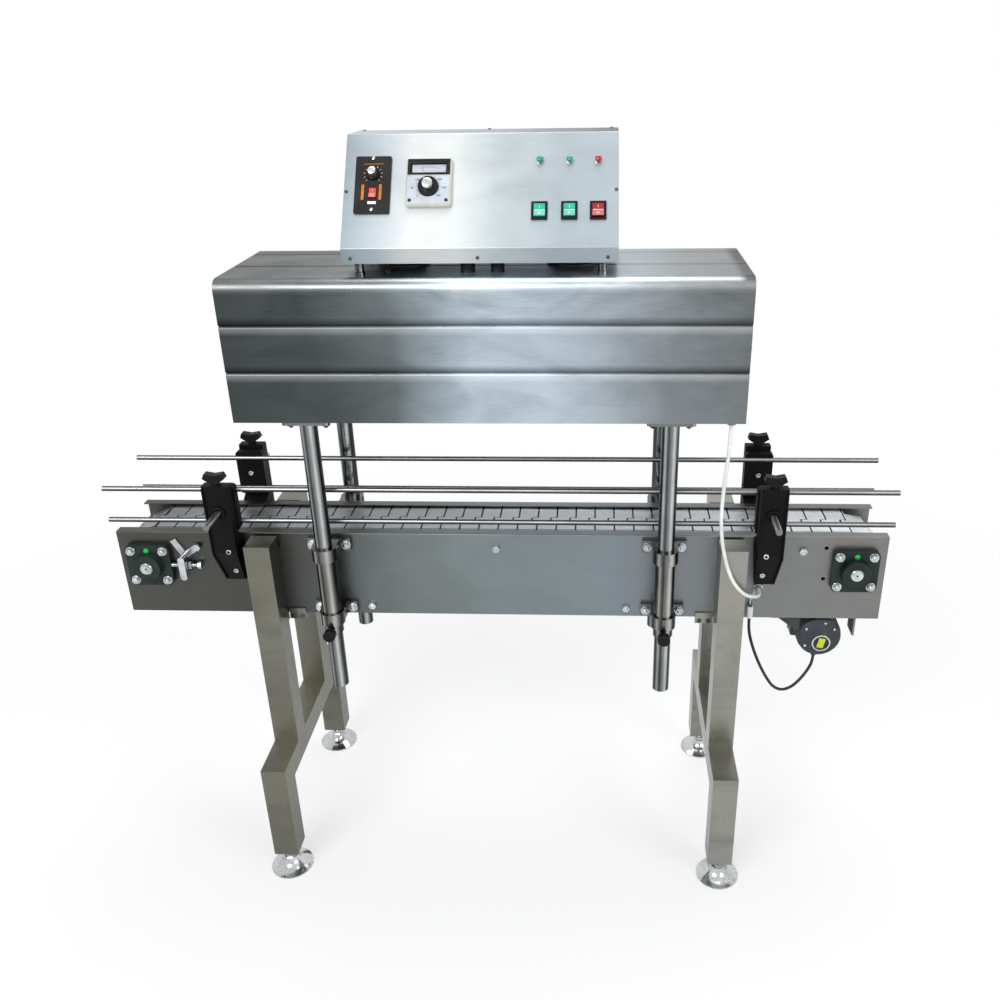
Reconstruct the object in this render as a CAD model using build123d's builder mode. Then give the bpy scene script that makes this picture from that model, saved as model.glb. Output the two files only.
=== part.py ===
from build123d import *

import os
from math import atan2, cos, pi, radians, sin

os.makedirs("parts", exist_ok=True)

# Heat shrink tunnel on a slat chain conveyor. Millimetres, +X along the conveyor, +Z up.
# The origin is on the floor under the middle of the machine, and the front is at -Y.

# Conveyor side plates
conveyor_length = 1500.0
conveyor_width = 150.0
plate_top = 730.0
plate_height = 180.0
plate_sheet = 2.0
plate_flange = 20.0
spare_hole_inset = 116.0
spare_hole_low = 639.0
spare_hole_high = 706.0
spare_hole_radius = 4.0
half_length = conveyor_length / 2
half_width = conveyor_width / 2
plate_bottom = plate_top - plate_height
plate_inner = half_width - plate_sheet
spare_hole_x = half_length - spare_hole_inset

# Slat chain and its sprockets
chain_pitch = 38.1
chain_width = 82.5
chain_end_gap = 60.0
sprocket_pitches = 9.5
slat_sheet = 3.0
slat_drop = 5.0
slat_gap = 0.8
knuckle_radius = 5.5
hinge_width = 44.0
eye_width = 20.0
eye_gap = 0.4
sprocket_teeth = 19
sprocket_width = 18.0
tooth_depth = 6.0
tooth_clearance = 0.8
slat_count = round(2 * (conveyor_length - 2 * chain_end_gap) / chain_pitch + sprocket_pitches)
sprocket_radius = chain_pitch / 2 / sin(pi / sprocket_pitches)
sprocket_x = (slat_count - sprocket_pitches) * chain_pitch / 4
slat_top = plate_top - slat_drop
axle_z = slat_top - knuckle_radius - sprocket_radius
return_z = axle_z - sprocket_radius - knuckle_radius

# Shafts and flange bearings
shaft_radius = 12.5
shaft_proud = 3.0
running_gap = 0.05
bearing_square = 88.0
bearing_flange = 12.0
bearing_height = 26.0
bearing_boss_radius = 29.0
bearing_bolts = 64.0
bearing_corner = 12.0
bearing_draft = 8.0
shaft_slot = 60.0
shaft_hole_radius = 18.0
tensioner_width = 13.0
tensioner_height = 50.0
tensioner_round = 6.0
tensioner_run = 28.0
tensioner_short_run = 19.0
tensioner_short_rise = 34.0
tensioner_strap = 4.0
tensioner_screw_radius = 4.0
tensioner_screw_length = 54.0
screw_gap = 0.1
bolt_head = 6.5
bolt_head_radius = 7.5
shaft_end = half_width + bearing_height + shaft_proud

# Cross bars and the strips that carry the chain
bar_radius = 8.0
top_bar_z = 700.0
top_bar_inset = 160.0
low_bar_z = 569.0
low_bar_inset = 496.0
strip_width = 11.0
strip_y = 32.5
strip_gap = 0.2
strip_end_gap = 14.0
top_bar_x = half_length - top_bar_inset
low_bar_x = half_length - low_bar_inset

# Stands of square tube
tube_size = 50.0
tube_wall = 2.0
stand_inset = 298.0
post_gap = 8.0
post_drop = 3.0
beam_top = 270.0
beam_reach = 230.0
leg_bottom = 50.0
pad_drop = 15.0
pad_height = 165.0
stand_x = half_length - stand_inset
post_y = half_width + post_gap + tube_size / 2
leg_y = beam_reach - tube_size / 2
beam_bottom = beam_top - tube_size
post_top = plate_top - post_drop

# Levelling feet
foot_radius = 43.5
foot_rim = 3.0
foot_height = 26.0
foot_neck_radius = 13.0
foot_stem_radius = 8.0
foot_stem_spare = 14.0
foot_nut_radius = 12.0
foot_nut_height = 8.0
leg_plug = 8.0
foot_travel = 20.0
thread_gap = 0.1
foot_stem_top = leg_bottom + leg_plug + foot_travel + foot_stem_spare

# Guide rails, their holders, brackets and knobs
rail_radius = 5.0
rail_y = 78.0
rail_low_z = 758.0
rail_high_z = 824.0
rail_overhang = 5.0
holder_inset = 230.0
holder_width = 56.0
holder_thick = 17.0
holder_margin = 14.0
rod_radius = 6.0
rod_end_y = 180.0
bracket_gap = 1.0
bracket_head = 20.0
bracket_top_width = 50.0
bracket_foot_width = 38.0
bracket_bottom = 630.0
bracket_top = 846.0
bracket_base = 8.0
bracket_shoulder = 742.0
bracket_knee = 705.0
knob_screw_radius = 4.0
knob_neck_radius = 8.0
knob_neck = 5.0
knob_height = 24.0
knob_width = 42.0
knob_thick = 16.0
knob_ear_low = 14.4
knob_ear_lean = 4.0
knob_dip = 3.0
rail_half_length = half_length + rail_overhang
holder_x = half_length - holder_inset
rod_z = (rail_low_z + rail_high_z) / 2
holder_outer = rail_y + holder_thick
bracket_inner = holder_outer + bracket_gap
bracket_outer = bracket_inner + bracket_head

# Lift tubes with their sleeves, clamps and knobs
lift_inset = 128.0
lift_y = 118.0
lift_radius = 16.0
lift_wall = 1.5
lift_bottom = 410.0
lift_flange_width = 86.0
lift_flange_depth = 42.0
lift_flange = 6.0
sleeve_wall = 2.9
sleeve_top = 723.0
sleeve_bottom = 536.0
collar_wall = 5.0
clamp_height = 26.0
clamp_width = 84.0
clamp_ear = 9.0
clamp_low_z = 556.0
clamp_high_z = 697.0
clamp_bolt_spacing = 66.0
clamp_web_width = 44.0
clamp_knob_z = 545.0
clamp_knob_radius = 12.0
clamp_knob_length = 18.0
clamp_knob_neck = 6.0
clamp_knob_chamfer = 2.0
clamp_screw_radius = 3.0
sleeve_inner = lift_radius + running_gap
sleeve_outer = lift_radius + sleeve_wall

# Hood
hood_inset = 297.0
hood_half_width = 140.0
hood_bottom = 982.0
hood_top = 1235.0
hood_sheet = 1.5
hood_corner = 20.0
hood_lip = 32.0
groove_depth = 3.5
groove_width = 9.0
groove_ridge = 1.0
front_groove_low = 1074.0
front_groove_high = 1157.0
top_groove_front = -27.0
top_groove_rear = 82.0
mouth_half_width = 74.0
mouth_top = 1150.0
mouth_radius = 30.0
hood_half_length = half_length - hood_inset
lift_x = hood_half_length - lift_inset

# Inside the hood
reflector_half_width = 102.0
reflector_top = 1178.0
reflector_sheet = 1.2
reflector_bottom = 992.0
reflector_corner = 18.0
air_hole_radius = 40.0
heater_radius = 5.0
heater_y = 86.0
heater_low_z = 1030.0
heater_pitch = 50.0
heater_rows = 3
heater_reach = 4.0
fan_x = 150.0
fan_radius = 60.0
fan_height = 28.0
fan_blades = 8
fan_blade = 2.0
fan_blade_middle = 36.0
fan_blade_length = 42.0
fan_blade_turn = 25.0
fan_plate = 3.0
fan_hub_radius = 12.0
fan_shaft_radius = 5.0
shaft_clearance = 2.0
fan_drop = 6.0
fan_motor_radius = 36.0
fan_motor_height = 90.0
fan_motor_flange = 46.0
fan_motor_base = 4.0
fan_motor_gap = 1.0
fan_shaft_hold = 12.0

# Control box on its spacers
box_x = -4.0
box_width = 465.0
box_front = 108.0
box_rear = 108.0
box_gap = 20.0
box_strip = 25.0
box_top = 1450.0
box_top_front = 18.0
box_sheet = 1.5
box_fold = 2.5
spacer_radius = 7.0
spacer_inset = 26.0
spacer_y = 92.0
conduit_y = 80.0
conduits = ((-164.0, 5.0), (-27.0, 12.0), (24.0, 11.0))
spacer_x = box_width / 2 - spacer_inset
box_bottom = hood_top + box_gap
bend_z = box_bottom + box_strip
panel_rise = box_top - bend_z
panel_run = box_front + box_top_front
panel_plane = Plane(
    origin=(box_x, -box_front, bend_z), x_dir=(1, 0, 0), z_dir=(0, -panel_rise, panel_run)
)
panel_axis = Axis(panel_plane.origin, panel_plane.z_dir)

# Controls, placed on the sloping panel from the middle of its lower bend
control_depth = 12.0
speed_plate_inset = 49.5
speed_plate_v = 115.0
speed_plate_width = 61.0
speed_plate_height = 106.0
speed_plate_thick = 3.0
speed_knob_v = 134.0
speed_knob_radius = 11.0
speed_knob_height = 14.0
speed_cap_radius = 7.0
speed_skirt_height = 4.0
speed_rocker_v = 100.0
temperature_step = 96.0
temperature_v = 117.0
temperature_width = 77.0
temperature_height = 88.0
temperature_thick = 9.0
window_width = 62.0
window_height = 22.0
window_v = 143.0
window_depth = 3.0
window_corner = 2.0
dial_v = 107.0
dial_radius = 18.0
dial_height = 14.0
dial_cap_radius = 9.0
dial_skirt_height = 5.0
knob_seat_gap = 0.3
knob_draft = 12.0
lamp_radius = 5.5
lamp_bezel_radius = 7.5
lamp_height = 7.0
lamp_bezel_height = 2.0
lamp_v = 159.0
switch_v = 66.0
switch_width = 27.5
switch_height = 33.0
switch_rim = 2.5
column_inset = 34.5
column_left_step = 50.0
column_right_step = 48.0
rocker_width = 19.0
rocker_length = 24.0
rocker_gap = 0.5
rocker_swing = 8.0
rocker_pivot = 3.5
rocker_proud = 2.2
rocker_depth = 5.0
rocker_taper = 1.5
rocker_pin_radius = 1.4
switch_wall = 2.0
small_rocker_width = 12.0
small_rocker_length = 18.0
spindle_radius = 3.0
speed_plate_u = speed_plate_inset - box_width / 2
temperature_u = speed_plate_u + temperature_step
column_right = box_width / 2 - column_inset
column_middle = column_right - column_right_step
column_left = column_middle - column_left_step
rocker_slope = sin(radians(rocker_swing))
rocker_rise = rocker_slope * (rocker_pivot + rocker_proud + rocker_length * rocker_slope / 2)
switch_across = rocker_width + 2 * rocker_gap
switch_opening = rocker_length + 2 * (rocker_rise + rocker_gap)
small_across = small_rocker_width + 2 * rocker_gap
small_opening = small_rocker_length + 2 * (rocker_rise + rocker_gap)

# Gear motor and its chain
motor_inset = 105.0
motor_z = 495.0
motor_front = 60.0
motor_radius = 43.0
motor_length = 74.0
gearbox_size = 86.0
gearbox_length = 28.0
drive_y = 57.0
drive_width = 7.0
drive_pitch = 12.7
wheel_teeth = 18
pinion_teeth = 12
link_height = 8.0
link_gap = 0.6
wheel_tooth = 3.0
mount_sheet = 4.0
hanger_inset = 46.0
hanger_drop = 41.0
mount_left_inset = 205.0
mount_flange = 22.0
mount_step = 10.0
lug_reach = 38.0
motor_round = 5.0
motor_gland_shift = 6.0
motor_gland_y = -49.0
motor_gland_z = 447.0
motor_gland_radius = 5.0
output_radius = 6.0
motor_x = half_length - motor_inset
hanger_x = half_length - hanger_inset
mount_left_x = half_length - mount_left_inset
motor_gland_x = motor_x - motor_gland_shift

# Cables
hood_cable_radius = 3.5
motor_cable_radius = 3.0
gland_radius = 8.0
gland_length = 8.0
plug_width = 11.0
plug_depth = 10.0
plug_height = 26.0
plug_corner = 1.5
plug_inset = 252.5
plug_z = 553.0
hood_gland_inset = 22.0
hood_gland_y = -118.0
plate_gland_inset = 240.0
plate_gland_z = 618.0
bend_share = 0.45
plug_x = half_length - plug_inset
plug_y = -half_width - plug_depth / 2
hood_gland_x = hood_half_length - hood_gland_inset
plate_gland_x = half_length - plate_gland_inset

sides = (-1, 1)
corners = [(across, along) for along in sides for across in sides]
bearing_corners = [(across * bearing_bolts / 2, along * bearing_bolts / 2) for across, along in corners]


# Profiles and small helpers
def outward_plane(side, distance):
    """Plane across Y at the front or rear, facing outwards, X to the right when seen from the front."""
    return Plane(origin=(0, side * distance, 0), x_dir=(1, 0, 0), z_dir=(0, side, 0))


def on_side(side, x, z):
    """Point on an outward plane, whose second axis points down at the rear."""
    return (x, -side * z)


def chain_pin(position):
    """Place of a chain pin, counted in pitches clockwise from the upper left tangent point."""
    straight = 2 * sprocket_x / chain_pitch
    wrap = sprocket_pitches / 2
    position = position % slat_count
    if position < straight:
        return (position * chain_pitch - sprocket_x, axle_z + sprocket_radius)
    if position < straight + wrap:
        turn = (position - straight) / wrap * pi
        return (sprocket_x + sprocket_radius * sin(turn), axle_z + sprocket_radius * cos(turn))
    if position < 2 * straight + wrap:
        return (sprocket_x - (position - straight - wrap) * chain_pitch, axle_z - sprocket_radius)
    turn = (position - 2 * straight - wrap) / wrap * pi
    return (-sprocket_x - sprocket_radius * sin(turn), axle_z - sprocket_radius * cos(turn))


def slat_place(index):
    """Frame of one slat: its pin at the origin, the next pin along +X, the flat top outwards."""
    start_x, start_z = chain_pin(index)
    next_x, next_z = chain_pin(index + 1)
    run = (next_x - start_x, next_z - start_z)
    plane = Plane(origin=(start_x, 0, start_z), x_dir=(run[0], 0, run[1]), z_dir=(-run[1], 0, run[0]))
    return plane.location


def toothed_outline(teeth, root, tip):
    """Points of a plain wheel with pointed teeth."""
    points = []
    for index in range(2 * teeth):
        turn = pi * index / teeth
        radius = tip if index % 2 else root
        points.append((radius * cos(turn), radius * sin(turn)))
    return points


def cord_radii(points):
    """Largest tangent arcs that the runs beside each corner leave room for."""
    radii = []
    for before, corner, after in zip(points, points[1:], points[2:]):
        arriving = Vector(*corner) - Vector(*before)
        leaving = Vector(*after) - Vector(*corner)
        half_turn = radians(arriving.get_angle(leaving)) / 2
        radii.append(bend_share * min(arriving.length, leaving.length) / (sin(half_turn) / cos(half_turn)))
    return radii


# Side plates, each folded from one sheet with a flange over the top; a cable gland on the front one
for side, place in zip(sides, ("front", "rear")):
    with BuildPart() as side_plate:
        with BuildSketch(Plane.YZ.offset(-half_length)):
            with BuildLine():
                outer = side * half_width
                inner = side * plate_inner
                tip = side * (half_width - plate_flange)
                Polyline(
                    (outer, plate_bottom),
                    (outer, plate_top),
                    (tip, plate_top),
                    (tip, plate_top - plate_sheet),
                    (inner, plate_top - plate_sheet),
                    (inner, plate_bottom),
                    close=True,
                )
            make_face()
        extrude(amount=conveyor_length)
        outer_fold = side_plate.edges().filter_by(Axis.X).group_by(Axis.Z)[-1].sort_by(Axis.Y)
        fillet(outer_fold[0 if side < 0 else -1], plate_sheet)
        with BuildSketch(outward_plane(side, plate_inner)):
            with Locations(on_side(side, sprocket_x, axle_z)):
                Circle(shaft_hole_radius)
            with Locations(on_side(side, -sprocket_x, axle_z)):
                SlotOverall(shaft_slot, 2 * shaft_hole_radius)
            for z in (spare_hole_low, spare_hole_high):
                with Locations(on_side(side, spare_hole_x, z)):
                    Circle(spare_hole_radius)
        extrude(amount=plate_sheet, mode=Mode.SUBTRACT)
        if place == "front":
            with BuildSketch(outward_plane(side, half_width)):
                with Locations((plate_gland_x, plate_gland_z)):
                    Circle(gland_radius)
            extrude(amount=gland_length)
        lug_z = plate_bottom + (mount_flange - hanger_drop) / 2
        with BuildSketch(Plane.YZ.offset(hanger_x)):
            with Locations((side * (plate_inner - lug_reach / 2), lug_z)):
                Rectangle(lug_reach, hanger_drop + mount_flange)
        extrude(amount=mount_sheet)
    side_plate.part.label = f"side_plate_{place}"
    export_step(side_plate.part, f"parts/side_plate_{place}.step")

# Round bars that hold the side plates apart
bar_places = [(x, top_bar_z) for x in (-top_bar_x, 0, top_bar_x)]
bar_places += [(x, low_bar_z) for x in (-low_bar_x, low_bar_x)]
with BuildPart() as cross_bars:
    with BuildSketch(Plane.XZ.offset(-plate_inner)):
        with Locations(*bar_places):
            Circle(bar_radius)
    extrude(amount=2 * plate_inner)
cross_bars.part.label = "cross_bars"
export_step(cross_bars.part, "parts/cross_bars.step")

# Strips that carry the slats above and below
strip_half = sprocket_x - strip_end_gap
with BuildPart() as wear_strips:
    for low, high in (
        (top_bar_z + bar_radius, slat_top - slat_sheet - strip_gap),
        (low_bar_z + bar_radius, return_z - strip_gap),
    ):
        with BuildSketch(Plane.XY.offset(low)):
            with Locations(*[(0, side * strip_y) for side in sides]):
                Rectangle(2 * strip_half, strip_width)
        extrude(amount=high - low)
wear_strips.part.label = "wear_strips"
export_step(wear_strips.part, "parts/wear_strips.step")

# One slat of the chain: a flat plate with a tongue, and rolled eyes under it
tongue_edge = -knuckle_radius
side_edge = knuckle_radius + slat_gap
with BuildPart() as slat:
    with BuildSketch(Plane.XY.offset(knuckle_radius - slat_sheet)):
        with BuildLine():
            Polyline(
                (side_edge, chain_width / 2),
                (side_edge, eye_width / 2),
                (tongue_edge, eye_width / 2),
                (tongue_edge, -eye_width / 2),
                (side_edge, -eye_width / 2),
                (side_edge, -chain_width / 2),
                (chain_pitch + knuckle_radius, -chain_width / 2),
                (chain_pitch + knuckle_radius, -eye_width / 2 - eye_gap),
                (chain_pitch - side_edge, -eye_width / 2 - eye_gap),
                (chain_pitch - side_edge, eye_width / 2 + eye_gap),
                (chain_pitch + knuckle_radius, eye_width / 2 + eye_gap),
                (chain_pitch + knuckle_radius, chain_width / 2),
                close=True,
            )
        make_face()
    extrude(amount=slat_sheet)
    with BuildSketch(Plane.XZ.offset(-eye_width / 2)):
        with BuildLine():
            Polyline(
                (-knuckle_radius, knuckle_radius - slat_sheet),
                (-knuckle_radius, -knuckle_radius / 2),
                (-knuckle_radius / 2, -knuckle_radius),
                (knuckle_radius / 2, -knuckle_radius),
                (knuckle_radius, -knuckle_radius / 2),
                (2 * knuckle_radius, knuckle_radius - slat_sheet),
                close=True,
            )
        make_face()
    extrude(amount=eye_width)
    for side in sides:
        with BuildSketch(Plane.XZ.offset(side * (hinge_width + eye_width + 2 * eye_gap) / 4)):
            with BuildLine():
                Polyline(
                    (chain_pitch + knuckle_radius, knuckle_radius - slat_sheet),
                    (chain_pitch + knuckle_radius, -knuckle_radius / 2),
                    (chain_pitch + knuckle_radius / 2, -knuckle_radius),
                    (chain_pitch - knuckle_radius / 2, -knuckle_radius),
                    (chain_pitch - knuckle_radius, -knuckle_radius / 2),
                    (chain_pitch - 2 * knuckle_radius, knuckle_radius - slat_sheet),
                    close=True,
                )
            make_face()
        extrude(amount=(hinge_width - eye_width - 2 * eye_gap) / 4, both=True)

# The endless slat chain, one solid for each slat
with BuildPart() as slat_chain:
    with Locations(*[slat_place(index) for index in range(slat_count)]):
        add(slat.part)
slat_chain.part.label = "slat_chain"
export_step(slat_chain.part, "parts/slat_chain.step")

# Sprockets and shafts at both ends of the chain
sprocket_tip = sprocket_radius - knuckle_radius - tooth_clearance
sprocket_points = toothed_outline(sprocket_teeth, sprocket_tip - tooth_depth, sprocket_tip)
for x, place in ((sprocket_x, "drive"), (-sprocket_x, "idler")):
    with BuildPart() as sprocket:
        with BuildSketch(Plane.XZ.offset(-sprocket_width / 2)):
            with Locations((x, axle_z)):
                Polygon(*sprocket_points, align=None)
                Circle(shaft_radius, mode=Mode.SUBTRACT)
        extrude(amount=sprocket_width)
    sprocket.part.label = f"{place}_sprocket"
    export_step(sprocket.part, f"parts/{place}_sprocket.step")
    with BuildPart() as shaft:
        with BuildSketch(Plane.XZ.offset(-shaft_end)):
            with Locations((x, axle_z)):
                Circle(shaft_radius)
        extrude(amount=2 * shaft_end)
        chamfer(shaft.edges().filter_by(GeomType.CIRCLE), shaft_proud / 2)
    shaft.part.label = f"{place}_shaft"
    export_step(shaft.part, f"parts/{place}_shaft.step")

# Square flange bearings bolted on the outside of the plates
with BuildPart() as bearing_housings:
    for side in sides:
        for x in (-sprocket_x, sprocket_x):
            with BuildSketch(outward_plane(side, half_width)):
                with Locations(on_side(side, x, axle_z)):
                    RectangleRounded(bearing_square, bearing_square, bearing_corner)
            extrude(amount=bearing_flange)
            with BuildSketch(outward_plane(side, half_width + bearing_flange)):
                with Locations(on_side(side, x, axle_z)):
                    Circle(bearing_boss_radius)
            extrude(amount=bearing_height - bearing_flange, taper=bearing_draft)
            with BuildSketch(outward_plane(side, half_width)):
                with Locations(on_side(side, x, axle_z)):
                    Circle(shaft_radius + running_gap)
            extrude(amount=bearing_height, mode=Mode.SUBTRACT)
bearing_housings.part.label = "bearing_housings"
export_step(bearing_housings.part, "parts/bearing_housings.step")

# Take-up screws that push the idler bearings outwards, each through a tab with two arms
tensioner_x = -sprocket_x + bearing_square / 2 + tensioner_run
tab_top = axle_z + tensioner_height / 2 - tensioner_round
arm_end = (tensioner_x - tensioner_short_run, tab_top + tensioner_short_rise)
screw_start = -sprocket_x + bearing_square / 2
screw_y = half_width + bolt_head_radius + screw_gap
with BuildPart() as chain_tensioners:
    for side in sides:
        with BuildSketch(outward_plane(side, half_width)):
            with Locations(on_side(side, tensioner_x, axle_z)):
                RectangleRounded(tensioner_width, tensioner_height, tensioner_round)
        extrude(amount=bearing_height)
        with BuildSketch(outward_plane(side, half_width)):
            with BuildLine():
                root = on_side(side, tensioner_x, tab_top)
                Line(root, on_side(side, -top_bar_x, top_bar_z))
                Line(root, on_side(side, *arm_end))
            trace(line_width=tensioner_width)
        extrude(amount=tensioner_strap)
        with BuildSketch(Plane.YZ.offset(screw_start)):
            with Locations((side * screw_y, axle_z)):
                Circle(tensioner_screw_radius)
        extrude(amount=tensioner_screw_length)
        with BuildSketch(Plane.YZ.offset(screw_start + tensioner_screw_length)):
            with Locations((side * screw_y, axle_z)):
                RegularPolygon(bolt_head_radius, 6)
        extrude(amount=bolt_head)
chain_tensioners.part.label = "chain_tensioners"
export_step(chain_tensioners.part, "parts/chain_tensioners.step")

# Stands, each welded from square tube: two posts, a cross beam and two lower legs
for side, place in zip(sides, ("left", "right")):
    middle = side * stand_x
    with BuildPart() as stand:
        for wall, mode in ((0, Mode.ADD), (tube_wall, Mode.SUBTRACT)):
            with BuildSketch(Plane.XY.offset(beam_top - wall)):
                with Locations((middle, -post_y), (middle, post_y)):
                    Rectangle(tube_size - 2 * wall, tube_size - 2 * wall)
            extrude(amount=post_top - beam_top, mode=mode)
            with BuildSketch(Plane.XZ.offset(-beam_reach + wall)):
                with Locations((middle, (beam_top + beam_bottom) / 2)):
                    Rectangle(tube_size - 2 * wall, tube_size - 2 * wall)
            extrude(amount=2 * (beam_reach - wall), mode=mode)
            with BuildSketch(Plane.XY.offset(leg_bottom + (leg_plug if wall else 0))):
                with Locations((middle, -leg_y), (middle, leg_y)):
                    Rectangle(tube_size - 2 * wall, tube_size - 2 * wall)
            extrude(amount=beam_bottom - leg_bottom, mode=mode)
        for across in sides:
            with BuildSketch(outward_plane(across, half_width)):
                with Locations(on_side(across, middle, plate_bottom - pad_drop + pad_height / 2)):
                    Rectangle(tube_size, pad_height)
            extrude(amount=post_gap)
        with BuildSketch(Plane.XY.offset(leg_bottom)):
            with Locations((middle, -leg_y), (middle, leg_y)):
                Circle(foot_stem_radius + thread_gap)
        extrude(amount=leg_plug, mode=Mode.SUBTRACT)
    stand.part.label = f"stand_{place}"
    export_step(stand.part, f"parts/stand_{place}.step")

# Levelling feet: a turned cup with its stem and lock nut
for across, along in corners:
    foot_x = across * stand_x
    foot_y = along * leg_y
    with BuildPart() as foot:
        with BuildSketch(Plane(origin=(foot_x, foot_y, 0), x_dir=(1, 0, 0), z_dir=(0, -1, 0))):
            with BuildLine():
                Line((0, 0), (foot_radius, 0))
                Line((foot_radius, 0), (foot_radius, foot_rim))
                Spline(
                    (foot_radius, foot_rim),
                    (foot_neck_radius, foot_height),
                    tangents=((-1, 0.25), (-0.25, 1)),
                )
                Polyline(
                    (foot_neck_radius, foot_height),
                    (foot_stem_radius, foot_height),
                    (foot_stem_radius, foot_stem_top),
                    (0, foot_stem_top),
                    (0, 0),
                )
            make_face()
        revolve(axis=Axis((foot_x, foot_y, 0), (0, 0, 1)))
        with BuildSketch(Plane.XY.offset(foot_height)):
            with Locations((foot_x, foot_y)):
                RegularPolygon(foot_nut_radius, 6)
        extrude(amount=foot_nut_height)
    place = ("front" if along < 0 else "rear") + ("_left" if across < 0 else "_right")
    foot.part.label = f"foot_{place}"
    export_step(foot.part, f"parts/foot_{place}.step")

# Guide rails, two round bars on each side of the chain
for side, place in zip(sides, ("front", "rear")):
    with BuildPart() as rails:
        with BuildSketch(Plane.YZ.offset(-rail_half_length)):
            with Locations((side * rail_y, rail_low_z), (side * rail_y, rail_high_z)):
                Circle(rail_radius)
        extrude(amount=2 * rail_half_length)
    rails.part.label = f"{place}_rails"
    export_step(rails.part, f"parts/{place}_rails.step")

    # Holders: a grooved block behind each pair of rails, on a rod through the bracket
    with BuildPart() as rail_holders:
        for x in (-holder_x, holder_x):
            with BuildSketch(outward_plane(side, rail_y)):
                with Locations(on_side(side, x, rod_z)):
                    RectangleRounded(
                        holder_width, rail_high_z - rail_low_z + 2 * holder_margin, holder_margin / 2
                    )
            extrude(amount=holder_thick)
            with BuildSketch(outward_plane(side, holder_outer)):
                with Locations(on_side(side, x, rod_z)):
                    Circle(rod_radius)
            extrude(amount=rod_end_y - holder_outer)
        with BuildSketch(Plane.YZ.offset(-rail_half_length)):
            with Locations((side * rail_y, rail_low_z), (side * rail_y, rail_high_z)):
                Circle(rail_radius)
        extrude(amount=2 * rail_half_length, mode=Mode.SUBTRACT)
    rail_holders.part.label = f"{place}_rail_holders"
    export_step(rail_holders.part, f"parts/{place}_rail_holders.step")

# Cast brackets that stand the rods off the side plates
bracket_lean = (bracket_top_width - bracket_foot_width) / 2
with BuildPart() as rail_brackets:
    for side in sides:
        for x in (-holder_x, holder_x):
            with BuildSketch(Plane.YZ.offset(x)):
                with BuildLine():
                    Polyline(
                        (side * half_width, bracket_bottom),
                        (side * half_width, plate_top),
                        (side * bracket_inner, bracket_shoulder),
                        (side * bracket_inner, bracket_top),
                        (side * bracket_outer, bracket_top),
                        (side * bracket_outer, bracket_knee),
                        (side * (half_width + bracket_base), bracket_bottom),
                        close=True,
                    )
                make_face()
            extrude(amount=bracket_top_width / 2, both=True)
        for x in (-holder_x, holder_x):
            for edge in sides:
                with BuildSketch(outward_plane(side, half_width)):
                    with BuildLine():
                        rim = x + edge * bracket_top_width / 2
                        Polyline(
                            on_side(side, rim, bracket_knee),
                            on_side(side, rim - edge * bracket_lean, bracket_bottom),
                            on_side(side, rim, bracket_bottom),
                            close=True,
                        )
                    make_face()
                extrude(amount=bracket_outer - half_width, mode=Mode.SUBTRACT)
            with BuildSketch(outward_plane(side, bracket_inner)):
                with Locations(on_side(side, x, rod_z)):
                    Circle(rod_radius + running_gap)
            extrude(amount=bracket_head, mode=Mode.SUBTRACT)
            with BuildSketch(Plane.XY.offset(rod_z)):
                with Locations((x, side * (bracket_inner + bracket_head / 2))):
                    Circle(knob_screw_radius + screw_gap)
            extrude(amount=bracket_top - rod_z, mode=Mode.SUBTRACT)
rail_brackets.part.label = "rail_brackets"
export_step(rail_brackets.part, "parts/rail_brackets.step")

# Wing knobs whose screws clamp the rods
for across, along in corners:
    knob_x = across * holder_x
    knob_y = along * (bracket_inner + bracket_head / 2)
    knob_base = bracket_top + running_gap
    with BuildPart() as guide_knob:
        with BuildSketch(Plane.XY.offset(rod_z + rod_radius + screw_gap)):
            with Locations((knob_x, knob_y)):
                Circle(knob_screw_radius)
        extrude(amount=knob_base + knob_neck - rod_z - rod_radius - screw_gap)
        with BuildSketch(Plane.XY.offset(knob_base)):
            with Locations((knob_x, knob_y)):
                Circle(knob_neck_radius)
        extrude(amount=knob_neck)
        with BuildSketch(Plane.XZ.offset(-knob_y)):
            with BuildLine():
                Polyline(
                    (knob_x - knob_neck_radius, knob_base + knob_neck),
                    (knob_x - knob_width / 2, knob_base + knob_ear_low),
                    (knob_x - knob_width / 2 + knob_ear_lean, knob_base + knob_height),
                    (knob_x, knob_base + knob_height - knob_dip),
                    (knob_x + knob_width / 2 - knob_ear_lean, knob_base + knob_height),
                    (knob_x + knob_width / 2, knob_base + knob_ear_low),
                    (knob_x + knob_neck_radius, knob_base + knob_neck),
                    close=True,
                )
            make_face()
        extrude(amount=knob_thick / 2, both=True)
    place = ("front" if along < 0 else "rear") + ("_left" if across < 0 else "_right")
    guide_knob.part.label = f"guide_knob_{place}"
    export_step(guide_knob.part, f"parts/guide_knob_{place}.step")

# Lift tubes, each with the flange that bolts under the hood's lip
lift_places = [(across * lift_x, along * lift_y) for across, along in corners]
flange_y = hood_half_width - hood_sheet - running_gap - lift_flange_depth / 2
with BuildPart() as lift_tubes:
    with BuildSketch(Plane.XY.offset(lift_bottom)):
        with Locations(*lift_places):
            Circle(lift_radius)
            Circle(lift_radius - lift_wall, mode=Mode.SUBTRACT)
    extrude(amount=hood_bottom - lift_flange - lift_bottom)
    with BuildSketch(Plane.XY.offset(hood_bottom - lift_flange)):
        with Locations(*[(across * lift_x, along * flange_y) for across, along in corners]):
            RectangleRounded(lift_flange_width, lift_flange_depth, lift_flange)
    extrude(amount=lift_flange)
lift_tubes.part.label = "lift_tubes"
export_step(lift_tubes.part, "parts/lift_tubes.step")

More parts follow.
